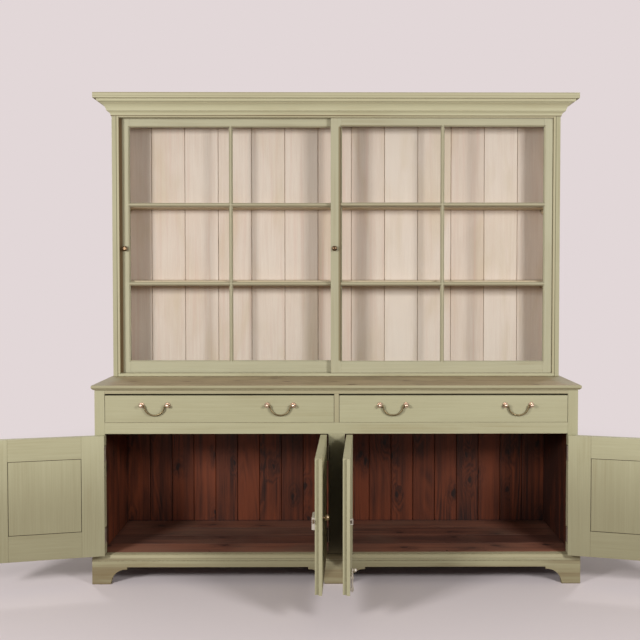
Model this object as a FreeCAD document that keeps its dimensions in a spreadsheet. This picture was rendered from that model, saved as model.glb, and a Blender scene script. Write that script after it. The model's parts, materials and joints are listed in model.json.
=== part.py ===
import FreeCAD, Part

import math
import os
import Sketcher

from FreeCAD import Vector

# Painted pine kitchen dresser in two parts: a glazed rack with a pair of sliding sashes,
# standing on a cupboard base with two drawers and two pairs of hinged doors.
# Millimetres. The origin is on the floor, in the middle of the length, at the front plane of
# the face frame. The front looks towards -Y, +X is the right-hand side, +Z is up.
# The doors stand open, turned about their hinge pins by the angles in the sheet.

SIZES = {
    # Base carcass and face frame
    "base_width": 2120.0,
    "base_depth": 515.0,
    "side_thick": 22.0,
    "back_thick": 12.0,
    "floor_height": 131.0,
    "floor_thick": 18.0,
    "floor_board_count": 4,
    "floor_board_gap": 1.0,
    "frame_thick": 22.0,
    "outer_stile_width": 44.0,
    "centre_stile_width": 72.0,
    "muntin_width": 21.0,
    "partition_thick": 20.0,
    "top_rail_height": 18.0,
    "drawer_space_height": 126.0,
    "mid_rail_height": 50.0,
    "worktop_height": 875.0,
    "worktop_thick": 20.0,
    "worktop_overhang": 12.5,
    "base_back_count": 19,
    "board_joint": 1.0,
    "board_vee": 4.0,
    # Plinth with bracket feet
    "plinth_overhang": 12.5,
    "plinth_thick": 22.0,
    "plinth_moulding_height": 16.0,
    "corner_foot_width": 82.0,
    "centre_foot_width": 108.0,
    "arch_radius": 65.0,
    "arch_step_in": 6.0,
    "arch_step_up": 10.0,
    "plinth_bead_drop": 8.0,
    "plinth_bead_width": 3.0,
    "plinth_bead_depth": 1.5,
    "glue_block_size": 45.0,
    "back_rail_height": 53.0,
    # Rack carcass
    "rack_side_inset": 2.0,
    "rack_front": 311.0,
    "rack_board_thick": 22.0,
    "rack_sill_thick": 15.0,
    "rack_height": 1315.0,
    "frieze_height": 91.0,
    "head_board_thick": 22.0,
    "top_board_thick": 18.0,
    "top_bead_height": 12.0,
    "side_bead_width": 10.0,
    "stop_bead_thick": 9.0,
    "cornice_stand": 12.0,
    "cornice_height": 96.0,
    "cornice_projection": 70.0,
    "rack_board_width": 164.6,
    "rack_first_board": 123.4,
    "shelf_thick": 18.0,
    "shelf_front": 380.0,
    "lower_shelf_above_bar": 6.0,
    "upper_shelf_above_bar": -3.0,
    "shelf_bearer_size": 20.0,
    # Sliding sashes
    "sash_thick": 22.0,
    "sash_meeting_lap": 54.0,
    "sash_end_gap": 2.0,
    "sash_running_gap": 0.5,
    "sash_track_divider": 4.0,
    "sill_groove_depth": 5.0,
    "head_groove_depth": 10.0,
    "sash_foot_gap": 0.3,
    "sash_head_gap": 2.0,
    "sash_stile_width": 50.0,
    "sash_bottom_sight": 58.0,
    "sash_top_sight": 39.0,
    "glazing_bar_width": 18.0,
    "glazing_moulding_width": 6.0,
    "glazing_moulding_depth": 8.0,
    "glazing_rebate_width": 6.0,
    "glazing_rebate_depth": 10.0,
    "pane_thick": 3.0,
    "pane_edge_gap": 0.5,
    "sash_knob_lift": 597.7,
    "front_knob_inset": 18.0,
    "rear_knob_inset": 29.0,
    # Turned knobs
    "knob_radius": 12.5,
    "knob_length": 22.0,
    "latch_knob_radius": 13.0,
    "latch_knob_length": 26.0,
    # Drawers
    "drawer_front_thick": 22.0,
    "drawer_side_gap": 1.5,
    "drawer_foot_gap": 0.5,
    "drawer_top_gap": 7.5,
    "drawer_back_gap": 63.0,
    "drawer_side_thick": 12.0,
    "drawer_side_height": 104.0,
    "drawer_side_inset": 4.0,
    "drawer_bottom_thick": 8.0,
    "drawer_bottom_lift": 8.0,
    "drawer_groove_depth": 5.0,
    "runner_width": 48.0,
    "runner_height": 20.0,
    "kicker_height": 17.0,
    # Swan-neck handles
    "handle_outer_inset": 217.5,
    "handle_inner_inset": 235.0,
    "handle_lift": 75.5,
    "handle_spread": 114.0,
    "rosette_radius": 12.0,
    "rosette_thick": 2.5,
    "post_foot_radius": 8.0,
    "post_neck_radius": 4.5,
    "post_length": 17.0,
    "post_ball_radius": 8.0,
    "bail_radius": 3.3,
    "bail_pin_ahead": 9.0,
    "bail_pin_gap": 0.3,
    "bail_end_reach": 9.0,
    "bail_shoulder_inset": 12.5,
    "bail_drop": 43.0,
    # Doors
    "door_thick": 28.0,
    "door_edge_gap": 3.0,
    "door_top_gap": 2.5,
    "door_foot_gap": 2.5,
    "door_meeting_gap": 2.5,
    "door_rebate_width": 10.0,
    "door_rebate_gap": 1.0,
    "door_stile_width": 95.0,
    "door_top_rail": 95.0,
    "door_bottom_rail": 112.0,
    "panel_thick": 12.0,
    "panel_tongue": 8.0,
    "panel_tongue_thick": 6.0,
    "panel_joint": 1.5,
    "panel_play": 0.3,
    "panel_moulding_width": 10.0,
    "panel_moulding_depth": 9.0,
    "outer_left_open_angle": 168.0,
    "inner_left_open_angle": 88.3,
    "inner_right_open_angle": 92.5,
    "outer_right_open_angle": 166.0,
    # Butt hinges
    "hinge_length": 64.0,
    "hinge_end_place": 50.0,
    "hinge_leaf_width": 20.0,
    "hinge_leaf_thick": 2.0,
    "hinge_leaf_gap": 0.4,
    "knuckle_radius": 5.0,
    "knuckle_gap": 0.3,
    "hinge_pin_radius": 2.5,
    "hinge_pin_play": 0.05,
    # Rim latches on the inner faces of the inner left and outer right doors
    "latch_lift": 284.0,
    "latch_length": 80.0,
    "latch_height": 46.0,
    "latch_case_drop": 33.0,
    "latch_thick": 12.0,
    "latch_wall": 1.5,
    "latch_knob_place": 52.0,
    "spindle_radius": 3.5,
    "spindle_play": 0.5,
    "tongue_reach": 8.0,
    "tongue_hidden": 22.0,
    "tongue_height": 14.0,
    "tongue_thick": 6.0,
    "tongue_lift": 2.5,
    "tongue_play": 0.3,
    "keep_length": 18.0,
    "keep_wall": 2.0,
    "keep_play": 0.9,
    # Bolts on the inner faces of the other two doors
    "bolt_place": 40.0,
    "bolt_plate_width": 26.0,
    "bolt_plate_height": 54.0,
    "bolt_plate_lift": 9.0,
    "bolt_plate_thick": 2.5,
    "bolt_guide_height": 10.0,
    "bolt_guide_thick": 11.0,
    "bolt_rod_radius": 3.5,
    "bolt_rod_play": 0.3,
    "bolt_rod_foot": 1.0,
    "bolt_travel": 18.0,
    "bolt_end_gap": 1.0,
    "bolt_hole_play": 1.5,
    "bolt_knob_radius": 7.0,
    "bolt_knob_drop": 7.0,
    # How far a cutting piece runs past what it cuts
    "overrun": 5.0,
}

# Outlines as shares of a moulding's projection and height, from its lowest inner corner
CORNICE_SHARES = (
    (0.0, 0.0), (0.05, 0.0), (0.05, 0.02), (0.24, 0.2), (0.24, 0.23), (0.28, 0.23), (0.62, 0.56),
    (0.62, 0.59), (0.67, 0.59), (0.8, 0.71), (0.8, 0.74), (1.0, 0.74), (1.0, 1.0), (0.0, 1.0),
)
CORNICE_ARC_SHARES = {2: (0.22, -1), 5: (0.42, -1), 8: (0.1, 1)}
PLINTH_MOULDING_SHARES = (
    (0.0, 0.0), (1.0, 0.0), (1.0, 0.2), (0.9, 0.25), (0.35, 0.9), (0.35, 1.0), (0.0, 1.0),
)
PLINTH_ARC_SHARES = {3: (0.75, 1)}
NOSING_SHARES = (
    (0.0, 0.0), (0.5, 0.0), (0.5, 0.12), (0.72, 0.2), (1.0, 0.4), (1.0, 0.75), (0.8, 1.0), (0.0, 1.0),
)
NOSING_ARC_SHARES = {3: (0.4, -1), 5: (0.4, 1)}
# Half outlines of turned pieces as shares of their radius and length, from the foot to the tip
KNOB_SHARES = (
    (0.0, 0.0), (0.62, 0.0), (0.62, 0.08), (0.34, 0.14), (0.34, 0.34), (0.8, 0.42), (1.0, 0.64),
    (0.5, 1.0), (0.0, 1.0),
)
KNOB_ARC_SHARES = {3: (0.2, -1), 5: (0.3, 1), 6: (0.4, 1)}
# Turning points of the bail, from its middle to one end: share of the shoulder's half width
# and share of the drop, then the radius of the bend there as a share of the drop
BAIL_SHARES = ((0.45, 1.0, 0.95), (0.93, 0.5, 0.85), (1.0, 0.0, 0.2))

QUARTER_TURN = 90
HALF_TURN = 180
FULL_TURN = 360
SWEEP_CORNER_MODE = 0


class Size:
    """A number together with the formula that gives it from the sheet."""

    def __init__(self, value, formula):
        self.value = value
        self.formula = formula

    def __add__(self, other):
        other = as_size(other)
        return Size(self.value + other.value, f"({self.formula} + {other.formula})")

    def __sub__(self, other):
        other = as_size(other)
        return Size(self.value - other.value, f"({self.formula} - {other.formula})")

    def __mul__(self, other):
        other = as_size(other)
        return Size(self.value * other.value, f"({self.formula} * {other.formula})")

    def __radd__(self, other):
        return as_size(other) + self

    def __rsub__(self, other):
        return as_size(other) - self

    def __truediv__(self, other):
        other = as_size(other)
        return Size(self.value / other.value, f"({self.formula} / {other.formula})")

    def __neg__(self):
        return Size(-self.value, f"(0 - {self.formula})")


def as_size(number):
    """A plain number as a Size; a Size stays what it is."""
    if isinstance(number, Size):
        return number
    return Size(float(number), repr(number))


class Sheet:
    """The driving dimensions by name, each as a Size bound to its cell."""

    def __getattr__(self, alias):
        return Size(SIZES[alias], f"Sizes.{alias}")


doc = FreeCAD.newDocument("dresser")
sheet = doc.addObject("Spreadsheet::Sheet", "Sizes")
for row, (alias, number) in enumerate(SIZES.items(), start=1):
    sheet.set(f"A{row}", alias)
    sheet.set(f"B{row}", str(number))
    sheet.setAlias(f"B{row}", alias)
doc.recompute()
s = Sheet()
nodes = []


def bind(item, prop, size):
    """Binds one property to its formula."""
    item.setExpression(prop, as_size(size).formula)


def place(item, corner, axis=None, turn=None):
    """Puts a piece at a point, turned about an axis by an angle."""
    if axis is not None:
        item.Placement.Rotation = FreeCAD.Rotation(Vector(*axis), as_size(turn).value)
        if isinstance(turn, Size):
            bind(item, "Placement.Rotation.Angle", turn)
    for letter, size in zip("xyz", corner):
        bind(item, f"Placement.Base.{letter}", size)
    return item


def board(name, corner, extent):
    """A squared piece: its lowest corner, and its extent along X, Y and Z."""
    item = doc.addObject("Part::Box", name)
    for prop, size in zip(("Length", "Width", "Height"), extent):
        bind(item, prop, size)
    return place(item, corner)


def rod(name, start, radius, length, axis="z"):
    """A round bar from its start point along +X, +Y or +Z."""
    item = doc.addObject("Part::Cylinder", name)
    bind(item, "Radius", radius)
    bind(item, "Height", length)
    turns = {"x": ((0, 1, 0), QUARTER_TURN), "y": ((1, 0, 0), -QUARTER_TURN), "z": ((0, 0, 1), 0)}
    return place(item, start, *turns[axis])


def funnel(name, corner, width, depth, height, flare):
    """A cutting block wider by flare all round at its front, narrowing to width and height at its depth."""
    item = doc.addObject("Part::Wedge", name)
    for letter, size in (("X", width), ("Z", height)):
        bind(item, f"{letter}min", -flare)
        bind(item, f"{letter}max", size + flare)
        bind(item, f"{letter}2min", 0)
        bind(item, f"{letter}2max", size)
    bind(item, "Ymin", 0)
    bind(item, "Ymax", depth)
    return place(item, corner)


def group(name, pieces):
    """Separate solids kept together."""
    item = doc.addObject("Part::Compound", name)
    item.Links = pieces
    return item


def fuse(name, pieces):
    """One solid from pieces that meet."""
    item = doc.addObject("Part::MultiFuse", name)
    item.Shapes = pieces
    item.Refine = True
    return item


def cut(name, base, tools):
    """The base with the tools taken away; tools that meet are fused first by the caller."""
    item = doc.addObject("Part::Cut", name)
    item.Base = base
    item.Tool = tools[0] if len(tools) == 1 else group(f"{name}_tools", tools)
    return item


def node(label, item):
    """Names a finished sub-part."""
    item.Label = label
    nodes.append(item)
    return item


def arc_centre(start, end, radius, side):
    """The centre of an arc from start to end that turns left for side 1 and right for side -1."""
    chord = end - start
    rise = math.sqrt(max(radius**2 - (chord.Length / 2) ** 2, 0))
    normal = Vector(-chord.y, chord.x, 0).normalize()
    return (start + end) / 2 + normal * rise * side


def outline(body, role, points, arcs):
    """A closed sketch on one of the body's own planes, each corner bound to the sheet."""
    sketch = body.newObject("Sketcher::SketchObject", f"{body.Name}_outline")
    plane = next(item for item in body.Origin.OriginFeatures if item.Role == role)
    sketch.AttachmentSupport = [(plane, "")]
    sketch.MapMode = "FlatFace"
    spots = [Vector(across.value, up.value, 0) for across, up in points]
    count = len(spots)
    first = {}
    last = {}
    for edge in range(count):
        start = spots[edge]
        end = spots[(edge + 1) % count]
        first[edge], last[edge] = 1, 2
        if edge not in arcs:
            sketch.addGeometry(Part.LineSegment(start, end))
            continue
        radius, side = arcs[edge]
        centre = arc_centre(start, end, radius.value, side)
        angles = [math.atan2(spot.y - centre.y, spot.x - centre.x) for spot in (start, end)]
        if side < 0:
            angles.reverse()
            first[edge], last[edge] = 2, 1
        circle = Part.Circle(centre, Vector(0, 0, 1), radius.value)
        sketch.addGeometry(Part.ArcOfCircle(circle, *angles))
    for edge, (across, up) in enumerate(points):
        following = (edge + 1) % count
        ends = (edge, last[edge], following, first[following])
        sketch.addConstraint(Sketcher.Constraint("Coincident", *ends))
        for kind, axis, size in (("DistanceX", -2, across), ("DistanceY", -1, up)):
            if size.value == 0:
                sketch.addConstraint(Sketcher.Constraint("PointOnObject", edge, first[edge], axis))
                continue
            mark = sketch.addConstraint(Sketcher.Constraint(kind, -1, 1, edge, first[edge], size.value))
            bind(sketch, f"Constraints[{mark}]", size)
        if edge in arcs:
            mark = sketch.addConstraint(Sketcher.Constraint("Radius", edge, arcs[edge][0].value))
            bind(sketch, f"Constraints[{mark}]", arcs[edge][0])
    return sketch


def shaped(shares, arc_shares, across, up):
    """Outline points and arcs worked out from tables of shares."""
    points = [(across * a, up * b) for a, b in shares]
    arcs = {edge: (up * radius, side) for edge, (radius, side) in arc_shares.items()}
    return points, arcs


def moulding(name, shares, arc_shares, projection, height, low, high, mitres):
    """A length of moulding along X from low to high, standing out towards +Y, mitred where asked."""
    reach = projection + s.overrun
    low_mitre, high_mitre = (reach * mitre for mitre in mitres)
    body = doc.addObject("PartDesign::Body", f"{name}_run")
    points, arcs = shaped(shares, arc_shares, projection, height)
    sketch = outline(body, "YZ_Plane", points, arcs)
    pad = body.newObject("PartDesign::Pad", f"{name}_pad")
    pad.Profile = sketch
    bind(pad, "Length", high - low + low_mitre + high_mitre)
    place(body, (low - low_mitre, 0, 0))
    mitre = doc.addObject("Part::Wedge", f"{name}_mitre")
    bind(mitre, "Xmin", low)
    bind(mitre, "Xmax", high)
    bind(mitre, "X2min", low - low_mitre)
    bind(mitre, "X2max", high + high_mitre)
    for prop in ("Ymin", "Zmin", "Z2min"):
        bind(mitre, prop, 0)
    bind(mitre, "Ymax", reach)
    bind(mitre, "Zmax", height + s.overrun)
    bind(mitre, "Z2max", height + s.overrun)
    item = doc.addObject("Part::Common", name)
    item.Base = body
    item.Tool = mitre
    return item


def moulding_round(name, shares, arc_shares, projection, height, side_place, front, back, level):
    """The moulding of one front and two returns, mitred at the two front corners."""
    common = (shares, arc_shares, projection, height)
    up = (0, 0, 1)
    front_run = moulding(f"{name}_front", *common, -side_place, side_place, (1, 1))
    place(front_run, (0, front, level), up, HALF_TURN)
    left_run = moulding(f"{name}_left", *common, front, back, (1, 0))
    place(left_run, (-side_place, 0, level), up, QUARTER_TURN)
    right_run = moulding(f"{name}_right", *common, -back, -front, (0, 1))
    place(right_run, (side_place, 0, level), up, -QUARTER_TURN)
    return [front_run, left_run, right_run]


def turned(name, shares, arc_shares, radius, length):
    """A turned piece standing along +Z from its foot."""
    body = doc.addObject("PartDesign::Body", name)
    points, arcs = shaped(shares, arc_shares, radius, length)
    sketch = outline(body, "XZ_Plane", points, arcs)
    turn = body.newObject("PartDesign::Revolution", f"{name}_turning")
    turn.Profile = sketch
    turn.ReferenceAxis = (sketch, ["V_Axis"])
    turn.Angle = FULL_TURN
    return body


def vee_boards(name, places, widths, front, level, height):
    """Upright lining boards side by side, with a small V along each joint on the front."""
    boards = [
        board(f"{name}_{number}", (left, front, level), (width, s.back_thick, height))
        for number, (left, width) in enumerate(zip(places, widths), start=1)
    ]
    vees = []
    for number, left in enumerate(places[1:], start=1):
        vee = board(f"{name}_vee_{number}", (0, 0, 0), (s.board_vee, s.board_vee, height))
        spot = (left - s.board_joint / 2, front - s.board_vee / math.sqrt(2), level)
        vees.append(place(vee, spot, (0, 0, 1), QUARTER_TURN / 2))
    return cut(name, group(f"{name}_plain", boards), vees)


# Levels and planes that the pieces share
half = s.base_width / 2
floor_foot = s.floor_height - s.floor_thick
frame_top = s.worktop_height - s.worktop_thick
drawer_top = frame_top - s.top_rail_height
drawer_foot = drawer_top - s.drawer_space_height
opening_top = drawer_foot - s.mid_rail_height
back_face = s.base_depth - s.back_thick
inner_half = half - s.side_thick
inner_depth = back_face - s.frame_thick

# Base carcass: two sides, a partition, the floor and the back lining
side_height = frame_top - floor_foot
side_size = (s.side_thick, s.base_depth - s.frame_thick, side_height)
node("base_sides", group("base_sides", [
    board("base_side_left", (-half, s.frame_thick, floor_foot), side_size),
    board("base_side_right", (inner_half, s.frame_thick, floor_foot), side_size),
]))
node("base_partition", board(
    "base_partition",
    (-s.partition_thick / 2, s.frame_thick, s.floor_height),
    (s.partition_thick, inner_depth, frame_top - s.floor_height),
))
back_width = inner_half * 2 / s.base_back_count
back_places = [-inner_half + back_width * number for number in range(int(s.base_back_count.value))]
node("base_back_boards", vee_boards(
    "base_back_boards", back_places, [back_width - s.board_joint] * len(back_places),
    back_face, floor_foot, side_height,
))

# Face frame: three stiles, the rails between them and the little stile between the drawers
outer_inside = half - s.outer_stile_width
centre_side = s.centre_stile_width / 2
rail_length = outer_inside * 2
stile_size = (s.outer_stile_width, s.frame_thick, frame_top - floor_foot)
frame_stiles = {
    "left": board("stile_left", (-half, 0, floor_foot), stile_size),
    "centre": board(
        "stile_centre", (-centre_side, 0, floor_foot),
        (s.centre_stile_width, s.frame_thick, opening_top - floor_foot),
    ),
    "right": board("stile_right", (outer_inside, 0, floor_foot), stile_size),
}
foot_rail_size = (outer_inside - centre_side, s.frame_thick, s.floor_thick)
node("face_frame_rails", group("face_frame_rails", [
    board("rail_top", (-outer_inside, 0, drawer_top), (rail_length, s.frame_thick, s.top_rail_height)),
    board("rail_mid", (-outer_inside, 0, opening_top), (rail_length, s.frame_thick, s.mid_rail_height)),
    board("rail_foot_left", (-outer_inside, 0, floor_foot), foot_rail_size),
    board("rail_foot_right", (centre_side, 0, floor_foot), foot_rail_size),
    board(
        "drawer_muntin", (-s.muntin_width / 2, 0, drawer_foot),
        (s.muntin_width, s.frame_thick, s.drawer_space_height),
    ),
]))

# Counter: a board with a moulded nosing worked on its front and ends
counter_slab = board("counter_slab", (-half, 0, frame_top), (s.base_width, s.base_depth, s.worktop_thick))
nosing = moulding_round(
    "nosing", NOSING_SHARES, NOSING_ARC_SHARES, s.worktop_overhang, s.worktop_thick,
    half, 0, s.base_depth, frame_top,
)
node("counter_top", fuse("counter_top", [counter_slab] + nosing))

# Plinth: a frame with bracket feet under the carcass, and a moulding planted on its top edge
plinth_half = half + s.plinth_overhang
plinth_front = -s.plinth_overhang
plinth_back = plinth_front + s.plinth_thick


def arch(name, span, thick):
    """The cutting block for one arch: quarter rounds beside the feet, then a small step up."""
    straight = span - s.arch_radius * 2
    inset = s.arch_radius + s.arch_step_in
    pieces = [
        board(f"{name}_low", (s.arch_radius, 0, -s.overrun), (straight, thick, s.arch_radius + s.overrun)),
        board(
            f"{name}_high", (inset, 0, 0),
            (span - inset * 2, thick, s.arch_radius + s.arch_step_up),
        ),
        rod(f"{name}_first", (s.arch_radius, 0, 0), s.arch_radius, thick, "y"),
        rod(f"{name}_second", (span - s.arch_radius, 0, 0), s.arch_radius, thick, "y"),
    ]
    return fuse(name, pieces)


arch_thick = s.plinth_thick + s.overrun * 2
front_span = plinth_half - s.corner_foot_width - s.centre_foot_width / 2
front_board = board(
    "plinth_board", (-plinth_half, plinth_front, 0), (plinth_half * 2, s.plinth_thick, floor_foot)
)
arch_front = plinth_front - s.overrun
bead_foot = floor_foot - s.plinth_bead_drop - s.plinth_bead_width
front_cuts = [
    place(arch("arch_left", front_span, arch_thick), (s.corner_foot_width - plinth_half, arch_front, 0)),
    place(arch("arch_right", front_span, arch_thick), (s.centre_foot_width / 2, arch_front, 0)),
    board(
        "plinth_scratch_bead", (-plinth_half - s.overrun, arch_front, bead_foot),
        (plinth_half * 2 + s.overrun * 2, s.overrun + s.plinth_bead_depth, s.plinth_bead_width),
    ),
]
node("plinth_front", cut("plinth_front", front_board, front_cuts))
return_length = s.base_depth - plinth_back
return_span = s.base_depth + s.plinth_overhang - s.corner_foot_width * 2
returns = []
for side_name, left in (("left", -plinth_half), ("right", plinth_half - s.plinth_thick)):
    plain = board(
        f"return_{side_name}_board", (left, plinth_back, 0), (s.plinth_thick, return_length, floor_foot)
    )
    tool = arch(f"return_{side_name}_arch", return_span, arch_thick)
    spot = (left + s.plinth_thick + s.overrun, plinth_front + s.corner_foot_width, 0)
    place(tool, spot, (0, 0, 1), QUARTER_TURN)
    returns.append(cut(f"return_{side_name}", plain, [tool]))
node("plinth_returns", group("plinth_returns", returns))
return_inside = plinth_half - s.plinth_thick
block = s.glue_block_size
blocks = [board(
    "plinth_back_rail", (-return_inside, s.base_depth - s.plinth_thick, floor_foot - s.back_rail_height),
    (return_inside * 2, s.plinth_thick, s.back_rail_height),
)]
for side_name, left in (("left", -return_inside), ("centre", -block / 2), ("right", return_inside - block)):
    blocks.append(board(f"block_front_{side_name}", (left, plinth_back, 0), (block, block, floor_foot)))
    block_front = s.base_depth - s.plinth_thick - block
    blocks.append(board(f"block_back_{side_name}", (left, block_front, 0), (block, block, floor_foot)))
node("plinth_blocks", group("plinth_blocks", blocks))
node("plinth_moulding", group("plinth_moulding", moulding_round(
    "plinth_strip", PLINTH_MOULDING_SHARES, PLINTH_ARC_SHARES, s.plinth_overhang, s.plinth_moulding_height,
    half, 0, s.base_depth, floor_foot,
)))

# Drawer runners under the drawer sides, and kickers above them
runner_length = inner_depth
runner_level = drawer_foot - s.runner_height
runners = []
for number, left in enumerate((
    -inner_half,
    -s.partition_thick / 2 - s.runner_width,
    s.partition_thick / 2,
    inner_half - s.runner_width,
), start=1):
    runners.append(board(
        f"runner_{number}", (left, s.frame_thick, runner_level),
        (s.runner_width, runner_length, s.runner_height),
    ))
    runners.append(board(
        f"kicker_{number}", (left, s.frame_thick, frame_top - s.kicker_height),
        (s.runner_width, runner_length, s.kicker_height),
    ))
node("drawer_runners", group("drawer_runners", runners))

# Rack carcass: sides, sill, head board with the sash tracks, top board, fascia and cornice
rack_half = half - s.rack_side_inset
rack_inner = rack_half - s.rack_board_thick
rack_depth = s.base_depth - s.rack_front
rack_top = s.worktop_height + s.rack_height
opening_head = rack_top - s.frieze_height
bead_back = s.rack_front + s.stop_bead_thick
sill_top = s.worktop_height + s.rack_sill_thick
rack_side_size = (s.rack_board_thick, rack_depth, s.rack_height)
node("rack_sides", group("rack_sides", [
    board("rack_side_left", (-rack_half, s.rack_front, s.worktop_height), rack_side_size),
    board("rack_side_right", (rack_inner, s.rack_front, s.worktop_height), rack_side_size),
]))
track_width = s.sash_thick + s.sash_running_gap * 2
front_track = bead_back
rear_track = front_track + track_width + s.sash_track_divider


def track_cuts(name, level, depth):
    """The two ploughed grooves that a pair of sashes runs in."""
    return [
        board(f"{name}_{side_name}", (-rack_inner - s.overrun, start, level), (
            rack_inner * 2 + s.overrun * 2, track_width, depth,
        ))
        for side_name, start in (("front", front_track), ("rear", rear_track))
    ]


sill_board = board(
    "sill_plain", (-rack_inner, s.rack_front, s.worktop_height),
    (rack_inner * 2, back_face - s.rack_front, s.rack_sill_thick),
)
node("rack_sill", cut("rack_sill", sill_board, track_cuts(
    "sill_groove", sill_top - s.sill_groove_depth, s.sill_groove_depth + s.overrun,
)))
head_board = board(
    "head_plain", (-rack_inner, bead_back, opening_head),
    (rack_inner * 2, back_face - bead_back, s.head_board_thick),
)
node("sash_head_board", cut("sash_head_board", head_board, track_cuts(
    "head_groove", opening_head - s.overrun, s.head_groove_depth + s.overrun,
)))
node("rack_top_board", board(
    "rack_top_board", (-rack_inner, bead_back, rack_top - s.top_board_thick),
    (rack_inner * 2, back_face - bead_back, s.top_board_thick),
))
fascia_foot = opening_head + s.top_bead_height
node("head_rail", board(
    "head_rail", (-rack_inner, s.rack_front, fascia_foot),
    (rack_inner * 2, s.stop_bead_thick, rack_top - fascia_foot),
))
side_bead_size = (s.side_bead_width, s.stop_bead_thick, fascia_foot - sill_top)
node("sash_stop_beads", group("sash_stop_beads", [
    board("bead_left", (-rack_inner, s.rack_front, sill_top), side_bead_size),
    board("bead_right", (rack_inner - s.side_bead_width, s.rack_front, sill_top), side_bead_size),
    board(
        "bead_top", (s.side_bead_width - rack_inner, s.rack_front, opening_head),
        ((rack_inner - s.side_bead_width) * 2, s.stop_bead_thick, s.top_bead_height),
    ),
]))
node("cornice", group("cornice", moulding_round(
    "cornice_run", CORNICE_SHARES, CORNICE_ARC_SHARES, s.cornice_projection, s.cornice_height,
    rack_half, s.rack_front, s.base_depth, rack_top + s.cornice_stand - s.cornice_height,
)))
lining_rest = rack_inner * 2 - s.rack_first_board
lining_count = math.ceil((lining_rest / s.rack_board_width).value)
lining_places = [-rack_inner] + [
    s.rack_first_board - rack_inner + s.rack_board_width * number for number in range(lining_count)
]
lining_ends = lining_places[1:] + [rack_inner]
lining_widths = [end - start - s.board_joint for start, end in zip(lining_places, lining_ends)]
node("rack_back_boards", vee_boards(
    "rack_back_boards", lining_places, lining_widths, back_face, s.worktop_height, s.rack_height,
))

# Sizes of the sashes, whose bars line up with the shelves
sash_width = rack_inner - s.sash_end_gap + s.sash_meeting_lap / 2
sash_foot = sill_top - s.sill_groove_depth + s.sash_foot_gap
sash_head = opening_head + s.head_groove_depth - s.sash_head_gap
sash_height = sash_head - sash_foot
bottom_rail = sill_top + s.sash_bottom_sight - sash_foot
top_rail = sash_head - opening_head + s.sash_top_sight
pane_width = (sash_width - s.sash_stile_width * 2 - s.glazing_bar_width) / 2
pane_height = (sash_height - bottom_rail - top_rail - s.glazing_bar_width * 2) / 3
lower_bar = sash_foot + bottom_rail + pane_height
upper_bar = lower_bar + s.glazing_bar_width + pane_height

# Shelves on bearers behind the glazing bars
shelf_depth = back_face - s.shelf_front
shelf_size = (rack_inner * 2, shelf_depth, s.shelf_thick)
shelves = []
bearers = []
for shelf_name, level in (
    ("lower", lower_bar + s.lower_shelf_above_bar), ("upper", upper_bar + s.upper_shelf_above_bar),
):
    shelves.append(board(f"shelf_{shelf_name}", (-rack_inner, s.shelf_front, level), shelf_size))
    for side_name, left in (("left", -rack_inner), ("right", rack_inner - s.shelf_bearer_size)):
        bearers.append(board(
            f"bearer_{shelf_name}_{side_name}", (left, s.shelf_front, level - s.shelf_bearer_size),
            (s.shelf_bearer_size, shelf_depth, s.shelf_bearer_size),
        ))
node("rack_shelves", group("rack_shelves", shelves))
node("shelf_bearers", group("shelf_bearers", bearers))

# Sliding sashes: frame and bars, six panes and a knob each; the right one runs in front


def sash(name, left, front, knob_inset):
    """One sash: two stiles, two rails, an upright bar, four short bars, six panes and a knob."""
    thick = s.sash_thick
    rail_width = sash_width - s.sash_stile_width * 2
    bar_left = s.sash_stile_width + pane_width
    top_rail_foot = sash_height - top_rail
    light_height = top_rail_foot - bottom_rail
    stile_size = (s.sash_stile_width, thick, sash_height)
    wood = [
        board(f"{name}_stile_left", (0, 0, 0), stile_size),
        board(f"{name}_stile_right", (sash_width - s.sash_stile_width, 0, 0), stile_size),
        board(f"{name}_rail_bottom", (s.sash_stile_width, 0, 0), (rail_width, thick, bottom_rail)),
        board(f"{name}_rail_top", (s.sash_stile_width, 0, top_rail_foot), (rail_width, thick, top_rail)),
        board(f"{name}_bar_upright", (bar_left, 0, bottom_rail), (s.glazing_bar_width, thick, light_height)),
    ]
    tools = []
    panes = []
    for column in range(2):
        pane_left = s.sash_stile_width + (pane_width + s.glazing_bar_width) * column
        for level in range(3):
            pane_foot = bottom_rail + (pane_height + s.glazing_bar_width) * level
            mark = f"{name}_{column + 1}{level + 1}"
            if level:
                bar_foot = pane_foot - s.glazing_bar_width
                bar_size = (pane_width, thick, s.glazing_bar_width)
                wood.append(board(f"{mark}_bar", (pane_left, 0, bar_foot), bar_size))
            tools.append(funnel(
                f"{mark}_moulding", (pane_left, 0, pane_foot),
                pane_width, s.glazing_moulding_depth, pane_height, s.glazing_moulding_width,
            ))
            edge = s.glazing_rebate_width
            tools.append(board(
                f"{mark}_rebate", (pane_left - edge, thick - s.glazing_rebate_depth, pane_foot - edge),
                (pane_width + edge * 2, s.glazing_rebate_depth + s.overrun, pane_height + edge * 2),
            ))
            lap = edge - s.pane_edge_gap
            panes.append(board(
                f"{mark}_pane", (pane_left - lap, thick - s.glazing_rebate_depth, pane_foot - lap),
                (pane_width + lap * 2, s.pane_thick, pane_height + lap * 2),
            ))
    corner = (left, front + s.sash_running_gap, sash_foot)
    node(f"{name}_frame", place(cut(f"{name}_frame", group(f"{name}_wood", wood), tools), corner))
    node(f"{name}_panes", place(group(f"{name}_panes", panes), corner))
    knob = turned(f"{name}_knob", KNOB_SHARES, KNOB_ARC_SHARES, s.knob_radius, s.knob_length)
    spot = (left + knob_inset, front + s.sash_running_gap, sash_foot + s.sash_knob_lift)
    node(f"{name}_knob", place(knob, spot, (1, 0, 0), QUARTER_TURN))


sash("front_sash", -s.sash_meeting_lap / 2, front_track, s.front_knob_inset)
sash("rear_sash", s.sash_end_gap - rack_inner, rear_track, s.rear_knob_inset)

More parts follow.
